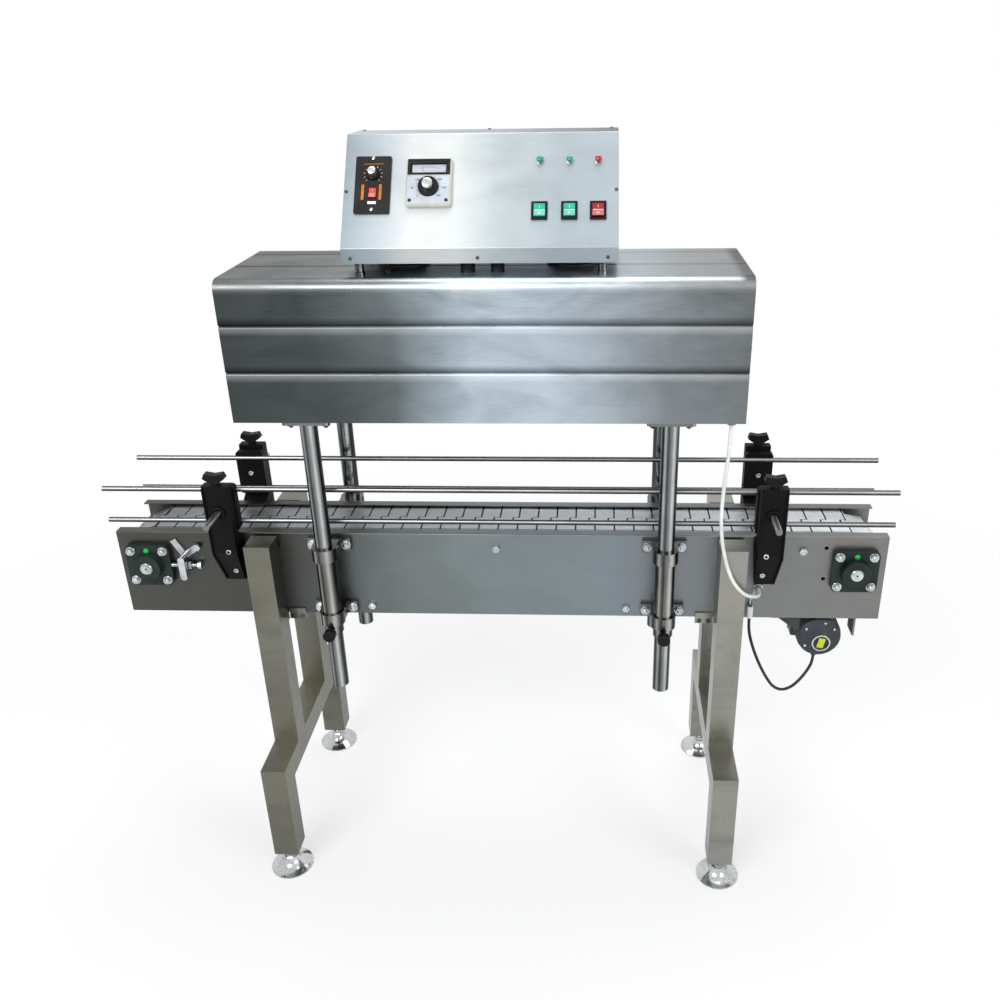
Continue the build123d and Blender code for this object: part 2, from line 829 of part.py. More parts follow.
# Sleeves that the lift tubes slide in, welded to clamp ears and bolted to the side plates
with BuildPart() as lift_sleeves:
    with BuildSketch(Plane.XY.offset(sleeve_bottom)):
        with Locations(*lift_places):
            Circle(sleeve_outer)
    extrude(amount=sleeve_top - sleeve_bottom)
    for low in (clamp_low_z, clamp_high_z):
        with BuildSketch(Plane.XY.offset(low)):
            for across, along in corners:
                with Locations((across * lift_x, along * (half_width + clamp_ear / 2))):
                    Rectangle(clamp_width, clamp_ear)
                with Locations((across * lift_x, along * (half_width + lift_y) / 2)):
                    Rectangle(clamp_web_width, lift_y - half_width)
                with Locations((across * lift_x, along * lift_y)):
                    Circle(sleeve_outer + collar_wall)
        extrude(amount=clamp_height)
    with BuildSketch(Plane.XY.offset(sleeve_bottom)):
        with Locations(*lift_places):
            Circle(sleeve_inner)
    extrude(amount=sleeve_top - sleeve_bottom, mode=Mode.SUBTRACT)
    for across, along in corners:
        with BuildSketch(outward_plane(along, lift_y)):
            with Locations(on_side(along, across * lift_x, clamp_knob_z)):
                Circle(clamp_screw_radius + screw_gap)
        extrude(amount=2 * sleeve_outer, mode=Mode.SUBTRACT)
lift_sleeves.part.label = "lift_sleeves"
export_step(lift_sleeves.part, "parts/lift_sleeves.step")

# Round knobs whose screws hold the lift tubes at their height
for across, along in corners:
    tube_x = across * lift_x
    screw_tip = lift_y + lift_radius + screw_gap
    head_y = lift_y + sleeve_outer + clamp_knob_neck
    with BuildPart() as clamp_knob:
        with BuildSketch(outward_plane(along, screw_tip)):
            with Locations(on_side(along, tube_x, clamp_knob_z)):
                Circle(clamp_screw_radius)
        extrude(amount=head_y - screw_tip)
        with BuildSketch(outward_plane(along, head_y)):
            with Locations(on_side(along, tube_x, clamp_knob_z)):
                Circle(clamp_knob_radius)
        extrude(amount=clamp_knob_length)
        rims = clamp_knob.edges().filter_by(GeomType.CIRCLE).sort_by(SortBy.RADIUS)[-2:]
        chamfer(rims, clamp_knob_chamfer)
    place = ("front" if along < 0 else "rear") + ("_left" if across < 0 else "_right")
    clamp_knob.part.label = f"clamp_knob_{place}"
    export_step(clamp_knob.part, f"parts/clamp_knob_{place}.step")


def hood_section(inset):
    """Closed outline of the hood across Y, with its pressed grooves, inset from the outside."""
    wall = hood_half_width - inset
    roof = hood_top - inset
    half_groove = groove_width / 2
    points = [(-wall, hood_bottom + inset)]
    for z in (front_groove_low, front_groove_high):
        points += [(-wall, z - half_groove), (-wall + groove_depth, z), (-wall, z + groove_ridge)]
    points += [(-wall, roof)]
    for y in (top_groove_front, top_groove_rear):
        points += [(y - groove_ridge, roof), (y, roof - groove_depth), (y + half_groove, roof)]
    points += [(wall, roof)]
    for z in (front_groove_high, front_groove_low):
        points += [(wall, z + groove_ridge), (wall - groove_depth, z), (wall, z - half_groove)]
    points += [(wall, hood_bottom + inset)]
    return points


def hood_face(inset):
    """The hood's outline as a flat face, its top corners rounded."""
    with BuildSketch(Plane.YZ.offset(-hood_half_length)) as face:
        with BuildLine():
            Polyline(*hood_section(inset), close=True)
        make_face()
        top = face.vertices().group_by(Axis.Y)[-1].sort_by(Axis.X)
        fillet([top[0], top[-1]], hood_corner - inset)
    return face.sketch


# Hood, one long sheet folded over with pressed grooves and lips under both walls, and its cable gland
fan_places = [(side * fan_x, 0) for side in sides]
with BuildPart() as hood_shell:
    extrude(hood_face(0), amount=2 * hood_half_length)
    extrude(hood_face(hood_sheet), amount=2 * hood_half_length, mode=Mode.SUBTRACT)
    with BuildSketch(Plane.XY.offset(hood_bottom)):
        Rectangle(2 * hood_half_length, 2 * (hood_half_width - hood_lip))
    extrude(amount=hood_sheet, mode=Mode.SUBTRACT)
    with BuildSketch(Plane.XY.offset(hood_top)):
        with Locations(*fan_places):
            Circle(fan_shaft_radius + shaft_clearance)
    extrude(amount=-2 * hood_sheet, mode=Mode.SUBTRACT)
    with BuildSketch(Plane.XY.offset(hood_bottom)):
        with Locations((hood_gland_x, hood_gland_y)):
            Circle(gland_radius)
    extrude(amount=-gland_length)
hood_shell.part.label = "hood_shell"
export_step(hood_shell.part, "parts/hood_shell.step")

# End plates inside the hood's ends, each with the arch that the bottles pass through
heater_heights = [heater_low_z + row * heater_pitch for row in range(heater_rows)]
heater_places = [(side * heater_y, z) for side in sides for z in heater_heights]
with BuildPart() as hood_end_plates:
    extrude(hood_face(hood_sheet), amount=hood_sheet)
    with BuildSketch(Plane.YZ.offset(-hood_half_length)):
        with Locations((0, mouth_top)):
            RectangleRounded(
                2 * mouth_half_width,
                2 * (mouth_top - hood_bottom),
                mouth_radius,
                align=(Align.CENTER, Align.MAX),
            )
        with Locations(*heater_places):
            Circle(heater_radius + running_gap)
    extrude(amount=hood_sheet, mode=Mode.SUBTRACT)
    mirror(about=Plane.YZ)
hood_end_plates.part.label = "hood_end_plates"
export_step(hood_end_plates.part, "parts/hood_end_plates.step")

# Folded reflector round the heating space, with a round air hole under each fan
reflector_half_length = hood_half_length - hood_sheet
with BuildPart() as heat_reflector:
    for inset, mode in ((0, Mode.ADD), (reflector_sheet, Mode.SUBTRACT)):
        with BuildSketch(Plane.YZ.offset(-reflector_half_length)) as reflector_outline:
            with Locations((0, reflector_bottom)):
                Rectangle(
                    2 * (reflector_half_width - inset),
                    reflector_top - reflector_bottom - inset,
                    align=(Align.CENTER, Align.MIN),
                )
            fillet(reflector_outline.vertices().group_by(Axis.Y)[-1], reflector_corner - inset)
        extrude(amount=2 * reflector_half_length, mode=mode)
    with BuildSketch(Plane.XY.offset(reflector_top)):
        with Locations(*fan_places):
            Circle(air_hole_radius)
    extrude(amount=-2 * reflector_sheet, mode=Mode.SUBTRACT)
heat_reflector.part.label = "heat_reflector"
export_step(heat_reflector.part, "parts/heat_reflector.step")

# Straight tubular heaters along both walls of the heating space
with BuildPart() as heater_tubes:
    with BuildSketch(Plane.YZ.offset(-hood_half_length - heater_reach)):
        with Locations(*heater_places):
            Circle(heater_radius)
    extrude(amount=2 * (hood_half_length + heater_reach))
heater_tubes.part.label = "heater_tubes"
export_step(heater_tubes.part, "parts/heater_tubes.step")

# Fan motors standing on the hood, their shafts passing down through it
with BuildPart() as fan_motors:
    for radius, height in ((fan_motor_flange, fan_motor_base), (fan_motor_radius, fan_motor_height)):
        with BuildSketch(Plane.XY.offset(hood_top)):
            with Locations(*fan_places):
                Circle(radius)
        extrude(amount=height)
    chamfer(fan_motors.edges().group_by(Axis.Z)[-1], fan_motor_base)
    with BuildSketch(Plane.XY.offset(hood_top)):
        with Locations(*fan_places):
            Circle(fan_shaft_radius + running_gap)
    extrude(amount=fan_shaft_hold + running_gap, mode=Mode.SUBTRACT)
fan_motors.part.label = "fan_motors"
export_step(fan_motors.part, "parts/fan_motors.step")

# Radial fan wheels with curved blades under a back plate
fan_top = hood_top - hood_sheet - groove_depth - fan_drop
for side, place in zip(sides, ("left", "right")):
    with BuildPart() as fan_wheel:
        with BuildSketch(Plane.XY.offset(fan_top - fan_plate)):
            with Locations((side * fan_x, 0)):
                Circle(fan_radius)
        extrude(amount=fan_plate)
        with BuildSketch(Plane.XY.offset(fan_top - fan_height)):
            with Locations((side * fan_x, 0)):
                Circle(fan_hub_radius)
        extrude(amount=fan_height - fan_plate)
        with BuildSketch(Plane.XY.offset(fan_top - fan_height)):
            with Locations((side * fan_x, 0)):
                with PolarLocations(fan_blade_middle, fan_blades):
                    Rectangle(fan_blade_length, fan_blade, rotation=fan_blade_turn)
        extrude(amount=fan_height - fan_plate)
        with BuildSketch(Plane.XY.offset(fan_top)):
            with Locations((side * fan_x, 0)):
                Circle(fan_shaft_radius)
        extrude(amount=hood_top + fan_shaft_hold - fan_top)
    fan_wheel.part.label = f"fan_wheel_{place}"
    export_step(fan_wheel.part, f"parts/fan_wheel_{place}.step")


def console_path(inset):
    """Front strip, sloping panel and top of the control box across Y, inset from the outside."""
    lean = atan2(panel_run, panel_rise)
    low_shift = inset * sin(lean / 2) / cos(lean / 2)
    high_shift = inset * (1 - sin(lean)) / cos(lean)
    return [
        (-box_front + inset, box_bottom),
        (-box_front + inset, bend_z - low_shift),
        (box_top_front + high_shift, box_top - inset),
        (box_rear, box_top - inset),
    ]


def rocker_plane(u, v):
    """Plane across a rocker's pivot, with its first axis up the panel and its second outwards."""
    pivot = panel_plane.from_local_coords((u, v, -rocker_pivot))
    return Plane(origin=pivot, x_dir=panel_plane.y_dir, z_dir=(1, 0, 0))


# Tray of the control box: floor, back and side walls, on round spacers and wire conduits
fan_clear = fan_motor_radius + fan_motor_gap
with BuildPart() as control_box:
    for inset, mode in ((0, Mode.ADD), (box_sheet, Mode.SUBTRACT)):
        with BuildSketch(Plane.YZ.offset(box_x - box_width / 2 + inset)):
            with BuildLine():
                front = console_path(box_sheet)
                Polyline(
                    (front[0][0], box_bottom + inset),
                    *front[1:3],
                    (box_rear - inset, box_top - box_sheet),
                    (box_rear - inset, box_bottom + inset),
                    close=True,
                )
            make_face()
        extrude(amount=box_width - 2 * inset, mode=mode)
    with BuildSketch(Plane.XY.offset(box_bottom)):
        with Locations(*fan_places):
            Circle(fan_clear)
    extrude(amount=box_sheet, mode=Mode.SUBTRACT)
    with BuildSketch(Plane.XY.offset(box_bottom)):
        for across, along in corners:
            with Locations((box_x + across * spacer_x, along * spacer_y)):
                Circle(spacer_radius)
        for x, radius in conduits:
            with Locations((x, -conduit_y)):
                Circle(radius)
    extrude(amount=-box_gap)
control_box.part.label = "control_box"
export_step(control_box.part, "parts/control_box.step")

# Front cover of the control box, one sheet folded over the strip, the panel and the top
columns = (column_left, column_middle, column_right)
spindles = ((speed_plate_u, speed_knob_v), (temperature_u, dial_v))
with BuildPart() as control_panel:
    with BuildSketch(Plane.YZ.offset(box_x - box_width / 2)) as cover_outline:
        with BuildLine():
            Polyline(*console_path(0), *reversed(console_path(box_sheet)), close=True)
        make_face()
    extrude(amount=box_width)
    for height in (bend_z, box_top):
        folds = control_panel.edges().filter_by(Axis.X)
        folds = folds.filter_by_position(Axis.Z, height - running_gap, height + running_gap)
        fillet(folds.sort_by(Axis.Y)[0], box_fold)
    with BuildSketch(panel_plane):
        with Locations(*[(u, switch_v) for u in columns]):
            Rectangle(switch_across + 2 * switch_wall, switch_opening + 2 * switch_wall)
        with Locations(*[(u, lamp_v) for u in columns]):
            Circle(lamp_radius)
        with Locations(*spindles):
            Circle(spindle_radius + running_gap)
        with Locations((speed_plate_u, speed_rocker_v)):
            Rectangle(small_across + 2 * switch_wall, small_opening + 2 * switch_wall)
    extrude(amount=-2 * box_sheet, mode=Mode.SUBTRACT)
control_panel.part.label = "control_panel"
export_step(control_panel.part, "parts/control_panel.step")

# Speed controller: a black plate with a knob above and a small rocker in its own well below
with BuildPart() as speed_controller:
    with BuildSketch(panel_plane):
        with Locations((speed_plate_u, speed_plate_v)):
            RectangleRounded(speed_plate_width, speed_plate_height, speed_plate_thick)
        with Locations((speed_plate_u, speed_knob_v)):
            Circle(spindle_radius + running_gap, mode=Mode.SUBTRACT)
    extrude(amount=speed_plate_thick)
    with BuildSketch(panel_plane):
        with Locations((speed_plate_u, speed_rocker_v)):
            Rectangle(small_across + 2 * switch_wall, small_opening + 2 * switch_wall)
    extrude(amount=-control_depth)
    with BuildSketch(panel_plane.offset(speed_plate_thick)):
        with Locations((speed_plate_u, speed_rocker_v)):
            Rectangle(small_across, small_opening)
    extrude(amount=-control_depth - speed_plate_thick, mode=Mode.SUBTRACT)
    with BuildSketch(rocker_plane(speed_plate_u, speed_rocker_v)):
        Circle(rocker_pin_radius + running_gap)
    extrude(amount=small_across / 2 + switch_wall, both=True, mode=Mode.SUBTRACT)
speed_controller.part.label = "speed_controller"
export_step(speed_controller.part, "parts/speed_controller.step")

# Temperature controller: a moulded housing with a scale window and a dial
with BuildPart() as temperature_controller:
    with BuildSketch(panel_plane):
        with Locations((temperature_u, temperature_v)):
            RectangleRounded(temperature_width, temperature_height, temperature_thick / 2)
    extrude(amount=temperature_thick)
    front_face = temperature_controller.faces().sort_by(panel_axis)[-1]
    chamfer(front_face.edges(), temperature_thick / 4)
    with BuildSketch(panel_plane.offset(temperature_thick)):
        with Locations((temperature_u, window_v)):
            RectangleRounded(window_width, window_height, window_corner)
    extrude(amount=-window_depth, mode=Mode.SUBTRACT)
    with BuildSketch(panel_plane):
        with Locations((temperature_u, dial_v)):
            Circle(spindle_radius + running_gap)
    extrude(amount=temperature_thick, mode=Mode.SUBTRACT)
temperature_controller.part.label = "temperature_controller"
export_step(temperature_controller.part, "parts/temperature_controller.step")

# Knobs on spindles: a wide skirt and a narrower cap
for name, u, v, seat, skirt, cap, skirt_height, cap_height in (
    (
        "speed_knob",
        speed_plate_u,
        speed_knob_v,
        speed_plate_thick,
        speed_knob_radius,
        speed_cap_radius,
        speed_skirt_height,
        speed_knob_height,
    ),
    (
        "temperature_dial",
        temperature_u,
        dial_v,
        temperature_thick,
        dial_radius,
        dial_cap_radius,
        dial_skirt_height,
        dial_height,
    ),
):
    with BuildPart() as knob:
        with BuildSketch(panel_plane.offset(seat + knob_seat_gap)):
            with Locations((u, v)):
                Circle(skirt)
        extrude(amount=skirt_height, taper=knob_draft)
        with BuildSketch(panel_plane.offset(seat + knob_seat_gap)):
            with Locations((u, v)):
                Circle(cap)
        extrude(amount=cap_height)
        with BuildSketch(panel_plane.offset(seat + knob_seat_gap)):
            with Locations((u, v)):
                Circle(spindle_radius)
        extrude(amount=-seat - knob_seat_gap - control_depth)
    knob.part.label = name
    export_step(knob.part, f"parts/{name}.step")

# Pilot lamps: a bezel, a lens and a neck through the panel
with BuildPart() as indicator_lamps:
    for radius, low, high in (
        (lamp_radius, -control_depth, 0),
        (lamp_bezel_radius, 0, lamp_bezel_height),
        (lamp_radius, lamp_bezel_height, lamp_height),
    ):
        with BuildSketch(panel_plane.offset(low)):
            with Locations(*[(u, lamp_v) for u in columns]):
                Circle(radius)
        extrude(amount=high - low)
    lens_faces = indicator_lamps.faces().group_by(panel_axis)[-1]
    chamfer(lens_faces.edges(), lamp_radius / 3)
indicator_lamps.part.label = "indicator_lamps"
export_step(indicator_lamps.part, "parts/indicator_lamps.step")

# Frames of the three rocker switches, with a bezel on the panel and walls behind it
with BuildPart() as switch_frames:
    with BuildSketch(panel_plane):
        with Locations(*[(u, switch_v) for u in columns]):
            RectangleRounded(switch_width, switch_height, switch_rim / 2)
    extrude(amount=switch_rim)
    with BuildSketch(panel_plane.offset(-control_depth)):
        with Locations(*[(u, switch_v) for u in columns]):
            Rectangle(switch_across + 2 * switch_wall, switch_opening + 2 * switch_wall)
    extrude(amount=control_depth)
    with BuildSketch(panel_plane.offset(-control_depth)):
        with Locations(*[(u, switch_v) for u in columns]):
            Rectangle(switch_across, switch_opening)
    extrude(amount=control_depth + switch_rim, mode=Mode.SUBTRACT)
    for u in columns:
        with BuildSketch(rocker_plane(u, switch_v)):
            Circle(rocker_pin_radius + running_gap)
        extrude(amount=switch_across / 2 + switch_wall, both=True, mode=Mode.SUBTRACT)
switch_frames.part.label = "switch_frames"
export_step(switch_frames.part, "parts/switch_frames.step")

# Rockers, resting with their upper half pressed in, on pins in the walls of their wells
proud = rocker_proud + rocker_pivot
for name, u, v, width, length in (
    ("heat_switch", column_left, switch_v, rocker_width, rocker_length),
    ("fan_switch", column_middle, switch_v, rocker_width, rocker_length),
    ("power_switch", column_right, switch_v, rocker_width, rocker_length),
    ("speed_switch", speed_plate_u, speed_rocker_v, small_rocker_width, small_rocker_length),
):
    pivot_plane = rocker_plane(u, v)
    lean_dir = pivot_plane.x_dir.rotate(Axis.X, -rocker_swing)
    tilted = Plane(origin=pivot_plane.origin, x_dir=lean_dir, z_dir=pivot_plane.z_dir)
    rise = length / 2 * sin(radians(rocker_swing)) / cos(radians(rocker_swing))
    with BuildPart() as rocker:
        with BuildSketch(tilted):
            with BuildLine():
                Polyline(
                    (-length / 2, proud + rise),
                    (0, proud),
                    (length / 2, proud + rise),
                    (length / 2 - rocker_taper, -rocker_depth),
                    (-length / 2 + rocker_taper, -rocker_depth),
                    close=True,
                )
            make_face()
        extrude(amount=width / 2, both=True)
        with BuildSketch(pivot_plane):
            Circle(rocker_pin_radius)
        extrude(amount=width / 2 + rocker_gap + switch_wall, both=True)
    rocker.part.label = name
    export_step(rocker.part, f"parts/{name}.step")

# Gear motor hung under the outfeed end: a round can with a square gearbox behind it
motor_rear = motor_length + gearbox_length - motor_front
with BuildPart() as gear_motor:
    with BuildSketch(Plane.XZ.offset(motor_front)):
        with Locations((motor_x, motor_z)):
            Circle(motor_radius)
    extrude(amount=-motor_length)
    fillet(gear_motor.edges().group_by(Axis.Y)[0], motor_round)
    with BuildSketch(Plane.XZ.offset(motor_front - motor_length)):
        with Locations((motor_x, motor_z)):
            RectangleRounded(gearbox_size, gearbox_size, motor_round)
    extrude(amount=-gearbox_length)
    with BuildSketch(Plane.XY.offset(motor_gland_z)):
        with Locations((motor_gland_x, motor_gland_y)):
            Circle(motor_gland_radius)
    extrude(until=Until.NEXT)
    with BuildSketch(Plane.XZ.offset(-motor_rear)):
        with Locations((motor_x, motor_z)):
            Circle(output_radius + running_gap)
    extrude(amount=gearbox_length / 2, mode=Mode.SUBTRACT)
gear_motor.part.label = "gear_motor"
export_step(gear_motor.part, "parts/gear_motor.step")

# Mount of the gear motor: a tray between the side plates with a hanging face plate
with BuildPart() as motor_mount:
    with BuildSketch(Plane.YZ.offset(mount_left_x)):
        with BuildLine():
            Polyline(
                (-plate_inner, plate_bottom),
                (-plate_inner, plate_bottom + mount_flange),
                (-plate_inner + mount_sheet, plate_bottom + mount_flange),
                (-plate_inner + mount_sheet, plate_bottom + mount_sheet),
                (plate_inner - mount_sheet, plate_bottom + mount_sheet),
                (plate_inner - mount_sheet, plate_bottom + mount_flange),
                (plate_inner, plate_bottom + mount_flange),
                (plate_inner, plate_bottom),
                close=True,
            )
        make_face()
    extrude(amount=hanger_x - mount_left_x)
    with BuildSketch(Plane.XZ.offset(-motor_rear)):
        with BuildLine():
            Polyline(
                (motor_x - gearbox_size / 2, motor_z - gearbox_size / 2),
                (motor_x - gearbox_size / 2, plate_bottom),
                (motor_x + gearbox_size / 2, plate_bottom),
                (motor_x + gearbox_size / 2, motor_z - gearbox_size / 2),
                close=True,
            )
        make_face()
        with Locations((motor_x, motor_z)):
            Circle(motor_radius / 2, mode=Mode.SUBTRACT)
    extrude(amount=-mount_sheet)
    with BuildSketch(Plane.XZ.offset(motor_front)):
        with BuildLine():
            Polyline(
                (mount_left_x, plate_bottom),
                (mount_left_x, plate_bottom - mount_step),
                (motor_x - gearbox_size, plate_bottom - mount_step),
                (motor_x - gearbox_size / 2 - mount_step, plate_bottom - hanger_drop + mount_step / 2),
                (motor_x - gearbox_size / 2, plate_bottom - hanger_drop + mount_step / 2),
                (motor_x - gearbox_size / 2, plate_bottom),
                close=True,
            )
        make_face()
    extrude(amount=-mount_sheet)
    with BuildSketch(Plane.XY.offset(plate_bottom)):
        with Locations(((motor_x + hanger_x) / 2, drive_y)):
            Rectangle(2 * (hanger_x - motor_x), 2 * drive_width)
    extrude(amount=mount_sheet, mode=Mode.SUBTRACT)
motor_mount.part.label = "motor_mount"
export_step(motor_mount.part, "parts/motor_mount.step")

# Drive chain from the motor's pinion up to the wheel on the drive shaft, one solid for each link
wheel_radius = drive_pitch / 2 / sin(pi / wheel_teeth)
pinion_radius = drive_pitch / 2 / sin(pi / pinion_teeth)
with BuildSketch(Plane.XZ.offset(-drive_y)) as drive_loop:
    with Locations((sprocket_x, axle_z)):
        Circle(wheel_radius)
    with Locations((motor_x, motor_z)):
        Circle(pinion_radius)
    make_hull()
drive_path = drive_loop.sketch.face().outer_wire()
link_count = round(drive_path.length / drive_pitch)
link_half = (drive_pitch - link_gap) / 2
link_outline = [
    (-link_half, 0),
    (-link_half + link_height / 3, -link_height / 2),
    (link_half - link_height / 3, -link_height / 2),
    (link_half, 0),
    (link_half - link_height / 3, link_height / 2),
    (-link_half + link_height / 3, link_height / 2),
]
with BuildPart() as drive_chain:
    for index in range(link_count):
        middle = drive_path.position_at(index / link_count)
        along = drive_path.tangent_at(index / link_count)
        with BuildSketch(Plane(origin=middle, x_dir=along, z_dir=(0, 1, 0))):
            Polygon(*link_outline, align=None)
        extrude(amount=drive_width / 2, both=True)
drive_chain.part.label = "drive_chain"
export_step(drive_chain.part, "parts/drive_chain.step")

# Chain wheel on the drive shaft, and the pinion with the motor's output shaft
wheel_tip = wheel_radius - link_height / 2 - tooth_clearance
pinion_tip = pinion_radius - link_height / 2 - tooth_clearance
for name, teeth, x, z, tip, start, bore in (
    ("drive_wheel", wheel_teeth, sprocket_x, axle_z, wheel_tip, None, shaft_radius),
    ("motor_pinion", pinion_teeth, motor_x, motor_z, pinion_tip, motor_rear, output_radius),
):
    with BuildPart() as wheel:
        with BuildSketch(Plane.XZ.offset(-drive_y - drive_width / 2)):
            with Locations((x, z)):
                Polygon(*toothed_outline(teeth, tip - wheel_tooth, tip), align=None)
                if start is None:
                    Circle(bore, mode=Mode.SUBTRACT)
        extrude(amount=drive_width)
        if start is not None:
            with BuildSketch(Plane.XZ.offset(gearbox_length / 2 - running_gap - start)):
                with Locations((x, z)):
                    Circle(bore)
            extrude(amount=start - gearbox_length / 2 + running_gap - drive_y - drive_width)
    wheel.part.label = name
    export_step(wheel.part, f"parts/{name}.step")

# Hex bolts of the bearings, the cross bars and the sleeve ears
bearing_bolt_places = [
    (x + across, axle_z + along) for x in (-sprocket_x, sprocket_x) for across, along in bearing_corners
]
clamp_bolt_places = [
    (across * lift_x + along * clamp_bolt_spacing / 2, low + clamp_height / 2)
    for across, along in corners
    for low in (clamp_low_z, clamp_high_z)
]
bolt_rows = [
    (half_width + bearing_flange, bearing_bolt_places),
    (half_width + tensioner_strap, bar_places[:1]),
    (half_width, bar_places[1:]),
    (half_width + clamp_ear, clamp_bolt_places),
]
with BuildPart() as frame_bolts:
    for side in sides:
        for distance, places in bolt_rows:
            with BuildSketch(outward_plane(side, distance)):
                with Locations(*[on_side(side, x, z) for x, z in places]):
                    RegularPolygon(bolt_head_radius, 6)
            extrude(amount=bolt_head)
frame_bolts.part.label = "frame_bolts"
export_step(frame_bolts.part, "parts/frame_bolts.step")

# Plug of the motor's lead
with BuildPart() as motor_plug:
    with BuildSketch(Plane.XY.offset(plug_z)):
        with Locations((plug_x, plug_y)):
            RectangleRounded(plug_width, plug_depth, plug_corner)
    extrude(amount=plug_height)
motor_plug.part.label = "motor_plug"
export_step(motor_plug.part, "parts/motor_plug.step")

# White cable hanging from the hood to the front plate, its points counted along X from its gland
hood_cable_route = [
    (0, -118, 974),
    (0, -118, 930),
    (-3.5, -120.5, 886),
    (-7.5, -126, 840),
    (-9, -132, 793),
    (-5, -137.5, 748),
    (4.5, -142, 706),
    (17, -145, 673),
    (33.5, -145.5, 650),
    (50, -141, 637),
    (64.5, -129, 629),
    (74.5, -113.5, 621.5),
    (79, -98, 618),
    (79, -83, 618),
]

# Black lead of the motor, looping down from the plug, its points counted along X from the plug
motor_cable_route = [
    (0, -80, 553),
    (0, -80, 531),
    (5.5, -81.5, 503),
    (15.5, -83, 473),
    (28.5, -84, 442),
    (43.5, -83.5, 413),
    (59.5, -81, 388),
    (80.5, -76, 376.5),
    (101.5, -69.5, 382),
    (119.5, -61.5, 397),
    (133.5, -53.5, 414),
    (141.5, -49, 430),
    (141.5, -49, 447),
]

for name, start, steps, radius in (
    ("hood_cable", hood_gland_x, hood_cable_route, hood_cable_radius),
    ("motor_cable", plug_x, motor_cable_route, motor_cable_radius),
):
    route = [(start + x, y, z) for x, y, z in steps]
    bends = cord_radii(route)
    print(name, "bend radii", [round(bend) for bend in bends])
    with BuildPart() as cord:
        with BuildLine() as cord_path:
            FilletPolyline(*route, radius=bends)
        with BuildSketch(Plane(origin=cord_path.line @ 0, z_dir=cord_path.line % 0)):
            Circle(radius)
        sweep()
    cord_length = sum(edge.length for edge in cord_path.edges())
    filled = cord.part.volume / (pi * radius**2 * cord_length)
    print(name, "length", round(cord_length), "volume ratio", round(filled, 4))
    cord.part.label = name
    export_step(cord.part, f"parts/{name}.step")
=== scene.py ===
import math

import bpy
from mathutils import Matrix, Vector


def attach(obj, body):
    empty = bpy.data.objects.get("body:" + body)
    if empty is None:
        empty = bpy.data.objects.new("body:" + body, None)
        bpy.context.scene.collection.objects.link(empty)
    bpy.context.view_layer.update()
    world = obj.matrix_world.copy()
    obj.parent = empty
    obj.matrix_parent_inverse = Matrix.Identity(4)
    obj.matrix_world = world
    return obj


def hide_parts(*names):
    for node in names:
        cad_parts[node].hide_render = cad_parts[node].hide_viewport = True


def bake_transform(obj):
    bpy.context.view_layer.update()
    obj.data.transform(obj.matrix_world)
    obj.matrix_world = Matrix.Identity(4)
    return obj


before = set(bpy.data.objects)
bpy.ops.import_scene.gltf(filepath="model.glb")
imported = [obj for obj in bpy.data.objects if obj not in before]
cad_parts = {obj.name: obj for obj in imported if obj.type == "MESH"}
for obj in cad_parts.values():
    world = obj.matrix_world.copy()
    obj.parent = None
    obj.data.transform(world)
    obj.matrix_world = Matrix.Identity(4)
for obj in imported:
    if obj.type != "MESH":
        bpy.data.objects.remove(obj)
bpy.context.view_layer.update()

bpy.ops.object.select_all(action="DESELECT")

# Places are in millimetres, as on the drawing, and MM brings them to metres.
# The reach of a finish's tones, cable routes, floor, lamps and camera are in metres.
MM = 0.001

# Conveyor: chain, side plates, bearings and feet
PITCH = 38.1
SLAT_TOP = 725
TONGUE_SIDE = 10.2
AXLE_X, AXLE_Z = 690.56, 660.83
PLATE_FACE = 75
BEARING_FACE = 87
FOOT_X, FOOT_Y = 452, 205

# Lift tubes with their sleeves, guide brackets with their rods
LIFT_X = 325
CLAMP_FACE = 84
BRACKET_X, BRACKET_FACE = 520, 116
ROD_Z = 791
BLOCK_BACK = 95.5

# Hood and control box, which stands on spacers
HOOD_END, HOOD_FACE = 453, 140
HOOD_BOTTOM, HOOD_TOP = 982, 1235
BOX_BOTTOM, BOX_TOP = 1255, 1450
BOX_FACE = 108
BOX_MIDDLE = -4

# Controls; u counts across the panel and v up it, from the middle of its lower bend
PANEL_Z = 1280
DEPTH_STEP, HEIGHT_STEP = 0.59547, 0.80338
PANEL = Matrix((
    (1, 0, 0, BOX_MIDDLE * MM),
    (0, DEPTH_STEP, -HEIGHT_STEP, -BOX_FACE * MM),
    (0, HEIGHT_STEP, DEPTH_STEP, PANEL_Z * MM),
    (0, 0, 0, 1),
))
SPEED_U, SPEED_KNOB_V = -183, 134
HEAT_U, DIAL_V, WINDOW_V = -87, 107, 141.2
# Each switch has its lamp above it, at the same u
SWITCHES = {"heat": 100, "fan": 150, "power": 198}
LAMP_V = 159

# Drive: gear motor, its badge, and the plug of its lead
MOTOR_X, MOTOR_Z = 645, 495
BADGE_X, BADGE_Z = 649, 482
MOTOR_FACE = -60
PLUG_X, PLUG_Y = 497.5, -80

# Signs: an end is left or right, a side is front or rear
SIGNS = (-1, 1)
CORNERS = [(end, side) for side in SIGNS for end in SIGNS]
SIDE_NAMES = {-1: "front", 1: "rear"}


# Finishes
def colour_of(code):
    """Linear colour of a paint code such as 8a9096."""
    parts = [int(code[i : i + 2], 16) / 255 for i in (0, 2, 4)]
    return [p / 12.92 if p <= 0.04045 else ((p + 0.055) / 1.055) ** 2.4 for p in parts] + [1.0]


